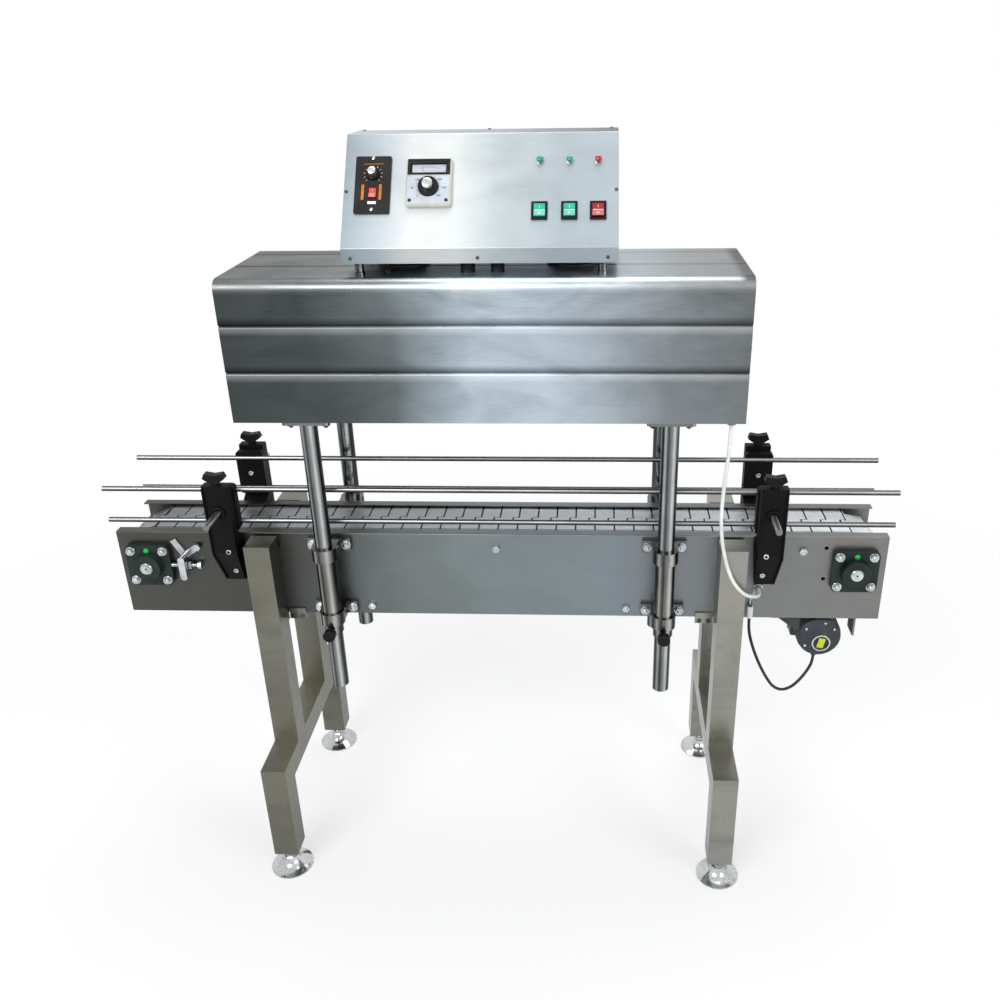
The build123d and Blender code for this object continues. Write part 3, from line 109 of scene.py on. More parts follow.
class Finish:
    """One procedural finish on object coordinates."""

    def __init__(self, name, code, metallic=0.0):
        self.material = bpy.data.materials.new(name)
        self.material.use_nodes = True
        self.tree = self.material.node_tree
        self.shader = self.tree.nodes["Principled BSDF"]
        self.shader.inputs["Base Color"].default_value = colour_of(code)
        self.shader.inputs["Metallic"].default_value = metallic
        self.place = self.tree.nodes.new("ShaderNodeTexCoord").outputs["Object"]

    def noise(self, scale, stretch=(1, 1, 1), detail=3.0, distortion=0.0):
        """Noise with its lumps drawn out along the grain."""
        mapping = self.tree.nodes.new("ShaderNodeMapping")
        mapping.inputs["Scale"].default_value = stretch
        self.tree.links.new(self.place, mapping.inputs["Vector"])
        noise = self.tree.nodes.new("ShaderNodeTexNoise")
        noise.inputs["Scale"].default_value = scale
        noise.inputs["Detail"].default_value = detail
        noise.inputs["Distortion"].default_value = distortion
        self.tree.links.new(mapping.outputs["Vector"], noise.inputs["Vector"])
        return noise.outputs[0]

    def part(self, vector, axis):
        """One part of a vector: 0 along the conveyor, 1 across it, 2 in height."""
        split = self.tree.nodes.new("ShaderNodeSeparateXYZ")
        self.tree.links.new(vector, split.inputs[0])
        return split.outputs[axis]

    def along(self, axis, start, end, wander=0.0, scale=3.0):
        """0 at start and 1 at end along one axis, its line disturbed by a slow noise."""
        spread = self.span(self.part(self.place, axis), start, end)
        if not wander:
            return spread
        return self.sum(spread, self.span(self.noise(scale), 0.0, 1.0, -wander, wander))

    def facing(self, axis):
        """Share from 0 to 1 of how far the surface faces along one axis."""
        return self.span(self.part(self.place.node.outputs["Normal"], axis), -1.0, 1.0)

    def aside(self):
        """Distance from the middle plane of the machine, the same on both sides."""
        depth = self.part(self.place, 1)
        return self.sum(depth, depth, "ABSOLUTE")

    def span(self, value, low, high, to_low=0.0, to_high=1.0):
        """Brings one range of values to another and holds it there."""
        node = self.tree.nodes.new("ShaderNodeMapRange")
        limits = {"From Min": low, "From Max": high, "To Min": to_low, "To Max": to_high}
        for socket, amount in limits.items():
            node.inputs[socket].default_value = amount
        self.tree.links.new(value, node.inputs["Value"])
        return node.outputs[0]

    def sum(self, first, second, operation="ADD"):
        """Two values added, or joined by another operation."""
        node = self.tree.nodes.new("ShaderNodeMath")
        node.operation = operation
        self.tree.links.new(first, node.inputs[0])
        self.tree.links.new(second, node.inputs[1])
        return node.outputs[0]

    def ramp(self, value, stops):
        """Colours laid out along a value."""
        node = self.tree.nodes.new("ShaderNodeValToRGB")
        elements = node.color_ramp.elements
        while len(elements) < len(stops):
            elements.new(0.5)
        for element, (position, code) in zip(elements, stops):
            element.position = position
            element.color = colour_of(code)
        self.tree.links.new(value, node.inputs[0])
        return node.outputs[0]

    def blend(self, share, first, second, kind="MIX"):
        """Mixes two colours by a fixed share or by a value that varies over the surface."""
        node = self.tree.nodes.new("ShaderNodeMix")
        node.data_type = "RGBA"
        node.blend_type = kind
        if isinstance(share, float):
            node.inputs[0].default_value = share
        else:
            self.tree.links.new(share, node.inputs[0])
        self.tree.links.new(first, node.inputs[6])
        self.tree.links.new(second, node.inputs[7])
        return node.outputs[2]

    def darken(self, tone, shade, share=1.0):
        """Multiplies a tone by a shade."""
        return self.blend(share, tone, shade, "MULTIPLY")

    def paint(self, colour):
        """Colour that varies over the surface."""
        self.tree.links.new(colour, self.shader.inputs["Base Color"])

    def gloss(self, value):
        """Roughness that varies over the surface."""
        self.tree.links.new(value, self.shader.inputs["Roughness"])

    def relief(self, value, strength, depth):
        """Fine bump, its depth in millimetres."""
        node = self.tree.nodes.new("ShaderNodeBump")
        node.inputs["Strength"].default_value = strength
        node.inputs["Distance"].default_value = depth * MM
        self.tree.links.new(value, node.inputs["Height"])
        self.tree.links.new(node.outputs[0], self.shader.inputs["Normal"])


def brushed_sheet(
    name, painted_reflection_tones, start, end, smooth, rough,
    grain=(4, 160, 160), wander=0.12, soil=0.3, lined=0.35, relief=0.1, extra=None,
):
    """Brushed sheet steel: painted reflection as broad tones along the machine, brush lines and hand smudges.
    """
    made = Finish(name, "8a9094", metallic=1.0)
    # Painted reflection: broad lighter and darker tones along the machine
    tone = made.ramp(made.along(0, start, end, wander, 2.6), painted_reflection_tones)
    lines = made.noise(9.0, grain, 4.0)
    smudge = made.noise(5.5, (1.0, 1.6, 2.2), 4.0, 1.2)
    tone = made.darken(tone, made.ramp(lines, [(0.3, "b4b4b4"), (0.62, "ffffff")]), lined)
    tone = made.darken(tone, made.ramp(smudge, [(0.3, "b4b4b4"), (0.58, "ffffff")]), soil)
    if extra:
        tone = extra(made, tone)
    made.paint(tone)
    worn = made.sum(made.span(lines, 0.3, 0.7, 0.0, 0.12), made.span(smudge, 0.3, 0.7, smooth, rough))
    made.gloss(worn)
    made.relief(lines, relief, 0.12)
    return made.material


def turned_steel(name, dark, light, smooth, rough, grain=(200, 200, 6), relief=0.04, painted_reflections=None, across=0):
    """Polished or drawn bar and tube, with fine lines and with painted reflections as light and dark bands
    round the piece.
    """
    made = Finish(name, light, metallic=1.0)
    lines = made.noise(6.0, grain, 3.0)
    patches = made.noise(14.0, (1, 1, 1), 4.0, 0.6)
    tone = made.ramp(made.sum(lines, patches, "MULTIPLY"), [(0.12, dark), (0.42, light)])
    # Painted reflections: light and dark bands set by the way the surface faces
    if painted_reflections:
        tone = made.darken(tone, made.ramp(made.facing(across), painted_reflections))
    made.paint(tone)
    made.gloss(made.span(patches, 0.3, 0.7, smooth, rough))
    made.relief(lines, relief, 0.1)
    return made.material


def plated(name, dark, light, smooth, rough):
    """Zinc or nickel plating, slightly mottled."""
    made = Finish(name, light, metallic=1.0)
    spangle = made.noise(90.0, (1, 1, 1), 3.0, 0.4)
    cloud = made.noise(22.0, (1, 1, 1), 2.0)
    made.paint(made.ramp(made.sum(spangle, cloud, "MULTIPLY"), [(0.12, dark), (0.38, light)]))
    made.gloss(made.span(cloud, 0.3, 0.7, smooth, rough))
    made.relief(spangle, 0.12, 0.1)
    return made.material


def moulded(name, dark, light, roughness, grain=220.0, relief=0.15, coat=0.0, specular=0.4, extra=None):
    """Moulded plastic or paint with a fine skin and handling marks."""
    made = Finish(name, light)
    skin = made.noise(grain, (1, 1, 1), 3.0)
    wear = made.noise(18.0, (1, 1, 1), 4.0, 0.8)
    tone = made.ramp(wear, [(0.3, dark), (0.7, light)])
    if extra:
        tone = extra(made, tone)
    made.paint(tone)
    made.gloss(made.span(wear, 0.3, 0.7, roughness - 0.06, roughness + 0.08))
    made.relief(skin, relief, 0.15)
    made.shader.inputs["Coat Weight"].default_value = coat
    made.shader.inputs["Specular IOR Level"].default_value = specular
    return made.material


def hood_painted_fold_light(made, tone):
    """Painted highlight as a rounded light band under each pressed groove, painted shadow as a dark line
    above it, painted shade as dark fold lines on the top, and the top darker towards the right end.
    """
    height = made.along(2, HOOD_BOTTOM * MM, HOOD_TOP * MM)
    depth = made.facing(1)
    wall = made.span(made.sum(depth, depth, "MULTIPLY"), 0.25, 0.04)
    painted_highlights = [(0.0, "000000")]
    painted_groove_shadows = [(0.0, "ffffff")]
    for groove, shade_end in ((0.364, 0.42), (0.692, 0.75)):
        painted_highlights += [(groove - 0.068, "000000"), (groove - 0.032, "8a8a8a")]
        painted_highlights += [(groove - 0.017, "9c9c9c"), (groove - 0.012, "000000")]
        painted_groove_shadows += [(groove, "ffffff"), (groove + 0.003, "3c3c3c")]
        painted_groove_shadows += [(groove + 0.012, "8c8c8c"), (shade_end, "ffffff")]
    painted_highlights += [(0.9, "000000"), (0.955, "707070")]
    # Painted highlight under each groove and painted shadow above it, on the front and rear walls
    lit = made.blend(0.55, tone, made.ramp(height, painted_highlights), "ADD")
    lit = made.darken(lit, made.ramp(height, painted_groove_shadows), 0.85)
    tone = made.blend(wall, tone, lit)
    painted_fold_shade = [(0.0, "ffffff")]
    for fold, shade_end in ((0.394, 0.47), (0.782, 0.86)):
        painted_fold_shade += [(fold, "ffffff"), (fold + 0.006, "3a3a3a"), (fold + 0.018, "3a3a3a")]
        painted_fold_shade += [(shade_end - 0.04, "d0d0d0"), (shade_end, "ffffff")]
    ends = [(0.0, "ffffff"), (0.5, "ffffff"), (0.72, "6a6a6a"), (1.0, "4c4c4c")]
    # Painted shade along the folds of the top
    top = made.darken(tone, made.ramp(made.along(1, -HOOD_FACE * MM, HOOD_FACE * MM), painted_fold_shade), 0.9)
    top = made.darken(top, made.ramp(made.along(0, 0.40, 0.455, 0.1, 20.0), ends), 0.9)
    return made.blend(made.span(made.facing(2), 0.8, 0.9), tone, top)


def slit(start):
    """Tones of one dark joint that begins at this share of the pitch."""
    return [
        (0.0, "ffffff"), (start, "ffffff"), (start + 0.012, "141414"), (start + 0.082, "141414"),
        (start + 0.094, "ffffff"),
    ]


def slat_slits(made, tone):
    """Dark joints between the slats of the upper run, stepping back round each tongue."""
    count = made.span(made.part(made.place, 0), -AXLE_X * MM, (PITCH - AXLE_X) * MM)
    count.node.clamp = False
    share = made.sum(count, count, "FRACT")
    aside, edge = made.aside(), TONGUE_SIDE * MM
    on_tongue = made.span(aside, edge - 0.1 * MM, edge + 0.1 * MM, 1.0, 0.0)
    joint = made.blend(on_tongue, made.ramp(share, slit(0.108)), made.ramp(share, slit(0.798)))
    step = [(0.0, "1c1c1c"), (0.155, "1c1c1c"), (0.165, "ffffff"), (0.835, "ffffff"), (0.845, "1c1c1c")]
    inside = made.span(aside, edge - 1.4 * MM, edge - 0.4 * MM)
    outside = made.span(aside, edge + 0.4 * MM, edge + 1.4 * MM, 1.0, 0.0)
    at_edge = made.sum(inside, outside, "MULTIPLY")
    joint = made.blend(at_edge, joint, made.ramp(share, step), "MULTIPLY")
    upper_run = made.span(made.part(made.place, 2), (SLAT_TOP - 5.5) * MM, (SLAT_TOP - 1.5) * MM)
    return made.blend(upper_run, tone, made.darken(tone, joint))


def rod_ends(made, tone):
    """Bare steel where the holders' rods come out of the black blocks, with painted reflection bands on it.
    """
    bare = made.span(made.aside(), BLOCK_BACK * MM, (BLOCK_BACK + 0.2) * MM)
    made.tree.links.new(bare, made.shader.inputs["Metallic"])
    return made.blend(bare, tone, made.ramp(made.facing(2), ROD_PAINTED_REFLECTIONS))


def box_top_painted_reflection(made, tone):
    """Painted reflection on the upper face of the box, dark where it is seen at a shallow angle."""
    shade = made.ramp(made.along(0, -0.24, 0.23), [(0.0, "a4a9ae"), (0.6, "888d92"), (1.0, "505255")])
    return made.blend(made.span(made.facing(2), 0.97, 0.995), tone, shade)


# Painted reflections: bands that round pieces mirror, from left to right on tubes, from below to above on
# rods and rails
TUBE_PAINTED_REFLECTIONS = [
    (0.0, "2a2b2b"), (0.1, "505151"), (0.22, "d4d5d4"), (0.31, "7c7d7d"), (0.4, "4c4d4d"), (0.48, "8e8f8e"),
    (0.56, "9a9b9a"), (0.72, "f2f2f0"), (0.84, "949594"), (0.93, "464747"), (1.0, "2c2d2d"),
]
ROD_PAINTED_REFLECTIONS = [
    (0.0, "3c3d3f"), (0.4, "5c5d5f"), (0.62, "9c9d9f"), (0.8, "d8dadc"), (0.92, "929496"), (1.0, "606264"),
]
RAIL_PAINTED_REFLECTIONS = [
    (0.0, "3a3b3c"), (0.3, "4c4d4f"), (0.46, "6c6d70"), (0.62, "b4b6b9"), (0.74, "f4f6f8"), (0.86, "a0a2a4"),
    (1.0, "66686a"),
]

# Steel: painted reflection tones from one place along the conveyor to another, then the smoothest and
# roughest gloss
HOOD = brushed_sheet(
    "hood_brushed",
    [(0.0, "45494a"), (0.2, "505556"), (0.32, "6f7779"), (0.46, "bcc9d2"), (0.62, "c0cdd7"), (0.74, "acb6bd"),
     (0.86, "8b9194"), (1.0, "787c7e")],
    -0.46, 0.46, 0.24, 0.38, soil=0.3, lined=0.2, relief=0.03, extra=hood_painted_fold_light,
)
PLATE = brushed_sheet(
    "side_plate_brushed",
    [(0.0, "555651"), (0.2, "4e4f4b"), (0.3, "5c5f5d"), (0.45, "7f8889"), (0.65, "828b90"), (0.8, "7e8080"),
     (1.0, "82817e")],
    -0.75, 0.75, 0.28, 0.42, soil=0.2, lined=0.2, relief=0.06,
)
PANEL_SHEET = brushed_sheet(
    "panel_brushed",
    [(0.0, "88949b"), (0.14, "a6afb4"), (0.26, "c3c6c6"), (0.42, "c4c8c8"), (0.56, "acb4b8"), (0.8, "9ba5aa"),
     (1.0, "9fa8ae")],
    -0.24, 0.23, 0.34, 0.46, wander=0.03, soil=0.05, lined=0.1, relief=0.03, extra=box_top_painted_reflection,
)
STAND = brushed_sheet(
    "stand_tube",
    [(0.0, "77766c"), (0.35, "7f7d74"), (0.6, "8f8d84"), (1.0, "989790")],
    -0.48, 0.48, 0.2, 0.34, (120, 120, 8), 0.3, soil=0.35, lined=0.16, relief=0.03,
)
TUBE = turned_steel("lift_tube_polished", "b0b3b4", "dcdfe0", 0.14, 0.24, painted_reflections=TUBE_PAINTED_REFLECTIONS)
SLEEVE = turned_steel("sleeve_polished", "a4a39f", "d2d2ce", 0.16, 0.28, painted_reflections=TUBE_PAINTED_REFLECTIONS)
RAIL = turned_steel("rail_drawn", "b4b4b2", "c8c8c6", 0.34, 0.44, (2, 10, 10), 0.0, RAIL_PAINTED_REFLECTIONS, 2)
SHAFT = turned_steel("shaft_ground", "8f9193", "c6c9ca", 0.16, 0.28, (200, 6, 200))
SLAT = brushed_sheet(
    "slat_steel",
    [(0.0, "8d9093"), (0.3, "a3a7aa"), (0.5, "b9bdc1"), (0.75, "d0d6da"), (1.0, "e6ebee")],
    -0.75, 0.75, 0.26, 0.4, (90, 6, 90), 0.1, soil=0.2, lined=0.15, relief=0.04, extra=slat_slits,
)
CHAIN = plated("chain_oiled", "3a3834", "75726b", 0.3, 0.5)
ZINC = plated("zinc_plated", "9a9ea1", "d2d6d9", 0.16, 0.34)
# Painted shade: a darker copy of the zinc plating, for the screws and bolts that look dark
SHADED_ZINC = plated("zinc_painted_shade", "2e3032", "66696c", 0.3, 0.46)
FOOT = turned_steel("foot_plated", "a3a5a6", "dfe1e2", 0.08, 0.2, (60, 60, 60))

# Paint, castings and plastics
DARK_SHEET = moulded("mount_painted", "26282a", "3a3d3f", 0.5)
CASTING = moulded("bracket_black", "050506", "0e0e10", 0.55, 260.0, 0.3, specular=0.12)
HOLDER = moulded("holder_black", "050506", "0e0e10", 0.5, 260.0, 0.2, specular=0.12, extra=rod_ends)
KNOB = moulded("knob_black", "060607", "111113", 0.48, 200.0, 0.2, specular=0.16)
BEARING = moulded("bearing_green_black", "111a17", "25312c", 0.42, 120.0, 0.4, specular=0.25)
MOTOR = moulded("motor_blue_grey", "23272c", "343a41", 0.4, 160.0, 0.35)
WEAR = moulded("wear_strip_white", "c9cac4", "dedfd8", 0.5)
CREAM = moulded("controller_cream", "b4b5a6", "c6c7b8", 0.38, 260.0, 0.1)
FACE_PALE = moulded("controller_face", "b1b6c0", "c2c7d1", 0.42, 260.0, 0.05)
GLOSS_BLACK = moulded("switch_frame_black", "0a0c0d", "151819", 0.28, 300.0, 0.08, specular=0.25)
SPEED_BLACK = moulded("speed_plate_black", "171413", "231f1e", 0.36, 300.0, 0.08, specular=0.25)
DIAL_BLACK = moulded("dial_black", "070707", "121212", 0.3, 240.0, 0.1, specular=0.25)
GREEN_LENS = moulded("lamp_green", "06684c", "1ba07b", 0.12, 60.0, 0.05, 0.6)
RED_LENS = moulded("lamp_red", "7d0b14", "b3202a", 0.12, 60.0, 0.05, 0.6)
GREEN_ROCKER = moulded("rocker_green", "0f8a70", "2fb597", 0.2, 200.0, 0.05, 0.4)
RED_ROCKER = moulded("rocker_red", "8d1018", "b81f26", 0.2, 200.0, 0.05, 0.4)
BRIGHT_RED = moulded("speed_rocker_red", "c22318", "ee4a34", 0.22, 200.0, 0.05, 0.4)
WHITE_CABLE = moulded("cable_white", "cfd4cf", "e8ece8", 0.42, 300.0, 0.1)
BLACK_CABLE = moulded("cable_black", "111112", "1e1e1f", 0.46, 300.0, 0.15)
WHITE_PLASTIC = moulded("plug_white", "cfd2d6", "e9ebee", 0.36, 200.0, 0.1)

# Heated parts
HEATER = turned_steel("heater_sheath", "4a3a30", "8a7766", 0.3, 0.5, (6, 160, 160))
REFLECTOR = brushed_sheet(
    "reflector_heated", [(0.0, "8b8880"), (0.5, "a8a69e"), (1.0, "908b80")], -0.46, 0.46, 0.24, 0.4
)

# Marks and small parts
PAINT_WHITE = moulded("mark_white", "dfe1e2", "f4f5f6", 0.45, 300.0, 0.04)
PAINT_BLACK = moulded("mark_black", "141414", "222222", 0.45, 300.0, 0.04)
PAINT_ORANGE = moulded("mark_orange", "a85c12", "cf7a1c", 0.4, 300.0, 0.04)
PAINT_RED = moulded("pointer_red", "a31812", "cc2a20", 0.4, 300.0, 0.04)
GREASE_GREEN = moulded("grease_cap_green", "0d8f3c", "20bd55", 0.35, 120.0, 0.1)
BADGE_YELLOW = moulded("badge_yellow_green", "a9b41c", "c6d127", 0.4, 120.0, 0.05)
SILVER_CAP = turned_steel("knob_cap_silver", "a6a9ac", "e3e6e8", 0.12, 0.24, (90, 90, 90))

finishes = {
    PLATE: ("side_plate_front", "side_plate_rear"),
    ZINC: ("frame_bolts", "chain_tensioners", "cross_bars"),
    WEAR: ("wear_strips",),
    SLAT: ("slat_chain",),
    CHAIN: ("drive_chain", "drive_wheel", "motor_pinion", "drive_sprocket", "idler_sprocket"),
    SHAFT: ("drive_shaft", "idler_shaft", "fan_wheel_left", "fan_wheel_right"),
    BEARING: ("bearing_housings",),
    STAND: ("stand_left", "stand_right"),
    FOOT: ("foot_front_left", "foot_front_right", "foot_rear_left", "foot_rear_right"),
    RAIL: ("front_rails", "rear_rails"),
    CASTING: ("rail_brackets",),
    HOLDER: ("front_rail_holders", "rear_rail_holders"),
    KNOB: (
        "guide_knob_front_left", "guide_knob_front_right", "guide_knob_rear_left", "guide_knob_rear_right",
        "clamp_knob_front_left", "clamp_knob_front_right", "clamp_knob_rear_left", "clamp_knob_rear_right",
    ),
    TUBE: ("lift_tubes",),
    SLEEVE: ("lift_sleeves",),
    HOOD: ("hood_shell", "hood_end_plates"),
    REFLECTOR: ("heat_reflector",),
    HEATER: ("heater_tubes",),
    DARK_SHEET: ("fan_motors", "motor_mount"),
    PANEL_SHEET: ("control_box", "control_panel"),
    SPEED_BLACK: ("speed_controller",),
    CREAM: ("temperature_controller",),
    DIAL_BLACK: ("speed_knob", "temperature_dial"),
    SILVER_CAP: ("indicator_lamps",),
    GLOSS_BLACK: ("switch_frames",),
    GREEN_ROCKER: ("heat_switch", "fan_switch"),
    RED_ROCKER: ("power_switch",),
    BRIGHT_RED: ("speed_switch",),
    MOTOR: ("gear_motor",),
    WHITE_PLASTIC: ("motor_plug",),
    WHITE_CABLE: ("hood_cable",),
    BLACK_CABLE: ("motor_cable",),
}
for finish, nodes in finishes.items():
    for node in nodes:
        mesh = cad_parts[node].data
        mesh.materials.clear()
        mesh.materials.append(finish)


# Workshop helpers
def hold(piece):
    """Only this piece selected and active."""
    bpy.ops.object.select_all(action="DESELECT")
    piece.select_set(True)
    bpy.context.view_layer.objects.active = piece


def take_faces(piece, wanted):
    """Edit mode with only the wanted faces selected."""
    hold(piece)
    bpy.ops.object.mode_set(mode="EDIT")
    bpy.ops.mesh.select_mode(type="FACE")
    bpy.ops.mesh.select_all(action="DESELECT")
    bpy.ops.object.mode_set(mode="OBJECT")
    for face in piece.data.polygons:
        face.select = wanted(face.center, face.normal)
    bpy.ops.object.mode_set(mode="EDIT")


def close_edit(piece):
    """Doubles merged and normals out, back in object mode."""
    bpy.ops.mesh.select_all(action="SELECT")
    bpy.ops.mesh.remove_doubles(threshold=0.002 * MM)
    bpy.ops.mesh.normals_make_consistent(inside=False)
    bpy.ops.object.mode_set(mode="OBJECT")
    return piece


def turned(profile, sides=24):
    """A turned piece standing on the floor: a disc, drawn up and scaled step by step along its profile."""
    radius, height = profile[0]
    bpy.ops.mesh.primitive_circle_add(
        vertices=sides, radius=radius * MM, fill_type="NGON", location=(0, 0, height * MM)
    )
    piece = bpy.context.object
    bpy.ops.object.transform_apply(location=True)
    bpy.ops.object.mode_set(mode="EDIT")
    bpy.ops.mesh.select_all(action="SELECT")
    for next_radius, next_height in profile[1:]:
        bpy.ops.mesh.extrude_region_move(
            TRANSFORM_OT_translate={"value": (0, 0, (next_height - height) * MM)}
        )
        share = next_radius / radius
        bpy.ops.transform.resize(value=(share, share, 1), center_override=(0, 0, 0))
        radius, height = next_radius, next_height
    return close_edit(piece)


def slab(width, depth, height, edge=0.0):
    """A flat block standing on the floor, its upper edges eased."""
    bpy.ops.mesh.primitive_cube_add(
        size=1, location=(0, 0, height * MM / 2), scale=(width * MM, depth * MM, height * MM)
    )
    piece = bpy.context.object
    bpy.ops.object.transform_apply(location=True, scale=True)
    take_faces(piece, lambda centre, normal: normal.z > 0.5)
    if edge:
        bpy.ops.mesh.bevel(offset=edge * MM, segments=2, affect="EDGES")
    return close_edit(piece)


def tray(width, depth, height, rim, drop):
    """A block whose upper face is sunk inside a rim."""
    piece = slab(width, depth, height)
    take_faces(piece, lambda centre, normal: normal.z > 0.5)
    bpy.ops.mesh.inset(thickness=rim * MM)
    bpy.ops.mesh.extrude_region_move(TRANSFORM_OT_translate={"value": (0, 0, -drop * MM)})
    return close_edit(piece)


def upright(x, y, z=0):
    """Place where a master stands as it was made."""
    return Matrix.Translation(Vector((x, y, z)) * MM)


def towards(x, y, z, direction, turn=0.0):
    """Place whose up is the given direction."""
    up = Vector(direction).to_track_quat("Z", "Y").to_matrix().to_4x4()
    return upright(x, y, z) @ up @ Matrix.Rotation(math.radians(turn), 4, "Z")


def on_panel(u, v, out=0.0, turn=0.0, lean=0.0):
    """Place on the sloping panel, out from its face, leaned back and turned."""
    leaned = upright(u, v, out) @ Matrix.Rotation(math.radians(lean), 4, "X")
    return PANEL @ leaned @ Matrix.Rotation(math.radians(turn), 4, "Z")


def round_point(u, v, out, turn, reach):
    """Place at a distance from a point of the panel, turned round that point."""
    return on_panel(u, v, out, turn) @ upright(0, reach)


def fit(master, name, body, finish, places, angle=35):
    """Copies a master to its places, each with its own mesh, joins them and lets them ride on a body."""
    copies = []
    for place in places:
        copy = master.copy()
        copy.data = master.data.copy()
        bpy.context.collection.objects.link(copy)
        copy.data.transform(place)
        copies.append(copy)
    bpy.ops.object.select_all(action="DESELECT")
    for copy in copies:
        copy.select_set(True)
    bpy.context.view_layer.objects.active = copies[0]
    if len(copies) > 1:
        bpy.ops.object.join()
    piece = bpy.context.view_layer.objects.active
    piece.name = name
    piece.data.materials.clear()
    piece.data.materials.append(finish)
    bpy.ops.object.shade_smooth_by_angle(angle=math.radians(angle))
    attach(piece, body)
    return piece


def discard(*pieces):
    """Removes masters that have been copied to their places."""
    for piece in pieces:
        bpy.data.objects.remove(piece)


def lettering(text, height, name, body, finish, place):
    """Raised figures, made a mesh before they are put in place."""
    bpy.ops.object.text_add(location=(0, 0, 0))
    words = bpy.context.object
    words.data.body = text
    words.data.size = height * MM
    words.data.extrude = 0.12 * MM
    words.data.resolution_u = 3
    words.data.align_x = "CENTER"
    words.data.align_y = "CENTER"
    bpy.ops.object.convert(target="MESH")
    piece = fit(bpy.context.object, name, body, finish, [place], angle=20)
    discard(words)
    return piece


def ridged(radius, depth, start, end, pitch):
    """Profile of a thread or a corrugated hose."""
    profile = [(radius - depth, start)]
    height = start
    while height + pitch <= end:
        profile += [(radius, height + pitch / 2), (radius - depth, height + pitch)]
        height += pitch
    return profile


# Washers of the bearing and clamp bolts, rounded ends of these and of the cross bars' bolts
washer = turned([(9.2, 0.0), (9.2, 1.1), (8.8, 1.5), (7.0, 1.5)])
stud = turned([(4.2, 0.0), (4.2, 1.6), (3.4, 2.4), (1.2, 2.7)], 16)
HEAD_HEIGHT = 6.5
bearing_bolts = [(x + a, AXLE_Z + b) for x in (-AXLE_X, AXLE_X) for a in (-32, 32) for b in (-32, 32)]
clamp_bolts = [(end * LIFT_X + a, z) for end in SIGNS for a in (-33, 33) for z in (569, 710)]
bar_bolts = [(0, 700), (590, 700), (-254, 569), (254, 569)]
washer_places = []
stud_places = []
for side in SIGNS:
    for row, face in ((bearing_bolts, BEARING_FACE), (clamp_bolts, CLAMP_FACE), (bar_bolts, PLATE_FACE)):
        for x, z in row:
            if row is not bar_bolts:
                washer_places.append(towards(x, side * face, z, (0, side, 0)))
            stud_places.append(towards(x, side * (face + HEAD_HEIGHT), z, (0, side, 0)))
fit(washer, "bolt_washers", "frame", ZINC, washer_places)
fit(stud, "bolt_ends", "frame", ZINC, stud_places)
discard(washer, stud)

# Grease caps and shaft centres of the bearings
SHAFT_END = 104
grease_cap = turned([(5.4, 0.0), (5.4, 2.2), (4.6, 3.6), (2.6, 4.6), (0.8, 4.9)], 20)
fit(grease_cap, "grease_caps", "frame", GREASE_GREEN,
    [towards(x, side * BEARING_FACE, AXLE_Z + 33, (0, side, 0)) for x in (-AXLE_X, AXLE_X) for side in SIGNS])
centre = turned([(10.5, 0.0), (10.5, 0.5), (9.6, 0.9), (4.0, 0.9), (2.2, 0.2), (0.4, -1.2)], 24)
for x, body, name in ((-AXLE_X, "idler", "idler_shaft_centres"), (AXLE_X, "drive", "drive_shaft_centres")):
    fit(centre, name, body, ZINC, [towards(x, side * SHAFT_END, AXLE_Z, (0, side, 0)) for side in SIGNS])
discard(grease_cap, centre)

# Threads of the take-up screws and of the feet
TAKE_UP_Y = 82.6
TAKE_UP_START, TAKE_UP_NUT = -AXLE_X + 44.3, -AXLE_X + 79
screw = turned(ridged(4.5, 0.6, 0.0, 53.0, 1.7), 14)
nut = turned([(7.4, 0.0), (8.2, 0.8), (8.2, 5.2), (7.4, 6.0), (4.8, 6.0)], 6)
for side, place in SIDE_NAMES.items():
    at_screw = towards(TAKE_UP_START, side * TAKE_UP_Y, AXLE_Z, (1, 0, 0))
    at_nut = towards(TAKE_UP_NUT, side * TAKE_UP_Y, AXLE_Z, (1, 0, 0), 15)
    fit(screw, f"take_up_thread_{place}", "frame", ZINC, [at_screw])
    fit(nut, f"take_up_nut_{place}", "frame", ZINC, [at_nut])
stem = turned(ridged(8.06, 0.5, 34.2, 70.0, 1.8), 24)
for end, side in CORNERS:
    place = SIDE_NAMES[side] + ("_left" if end < 0 else "_right")
    fit(stem, f"foot_thread_{place}", f"foot_{place}", ZINC, [upright(end * FOOT_X, side * FOOT_Y)])
discard(screw, nut, stem)

# Bolts of the cast brackets, of the rail holders and of the lift flanges
FOOT_BOLT_X = 513
HOLDER_FACE = 78
FLANGE_BOLT_Y, FLANGE_BOLT_Z = 117.4, 976
small_head = turned([(5.2, 0.0), (5.2, 3.4), (4.6, 4.0), (2.9, 4.0), (2.7, 2.2), (0.6, 2.0)], 20)
fit(small_head, "bracket_bolts", "frame", ZINC,
    [towards(end * FOOT_BOLT_X, side * reach, z, (0, side, 0)) for end in SIGNS for side in SIGNS
     for reach, z in ((92.5, 656), (113.5, 708))])
for side, place in SIDE_NAMES.items():
    fit(small_head, f"holder_screws_{place}", f"{place}_guide", ZINC,
        [towards(end * BRACKET_X, side * HOLDER_FACE, ROD_Z, (0, -side, 0)) for end in SIGNS])
hex_head = turned(
    [(7.4, 0.0), (8.1, 0.6), (8.1, 5.6), (7.3, 6.4), (4.0, 6.4), (4.0, 9.6), (3.2, 10.4), (0.5, 10.4)], 12
)
fit(hex_head, "lift_flange_bolts", "hood", SHADED_ZINC,
    [towards(end * LIFT_X + step, side * FLANGE_BOLT_Y, FLANGE_BOLT_Z, (0, 0, -1))
     for end, side in CORNERS for step in (-32, 32)])
discard(small_head, hex_head)

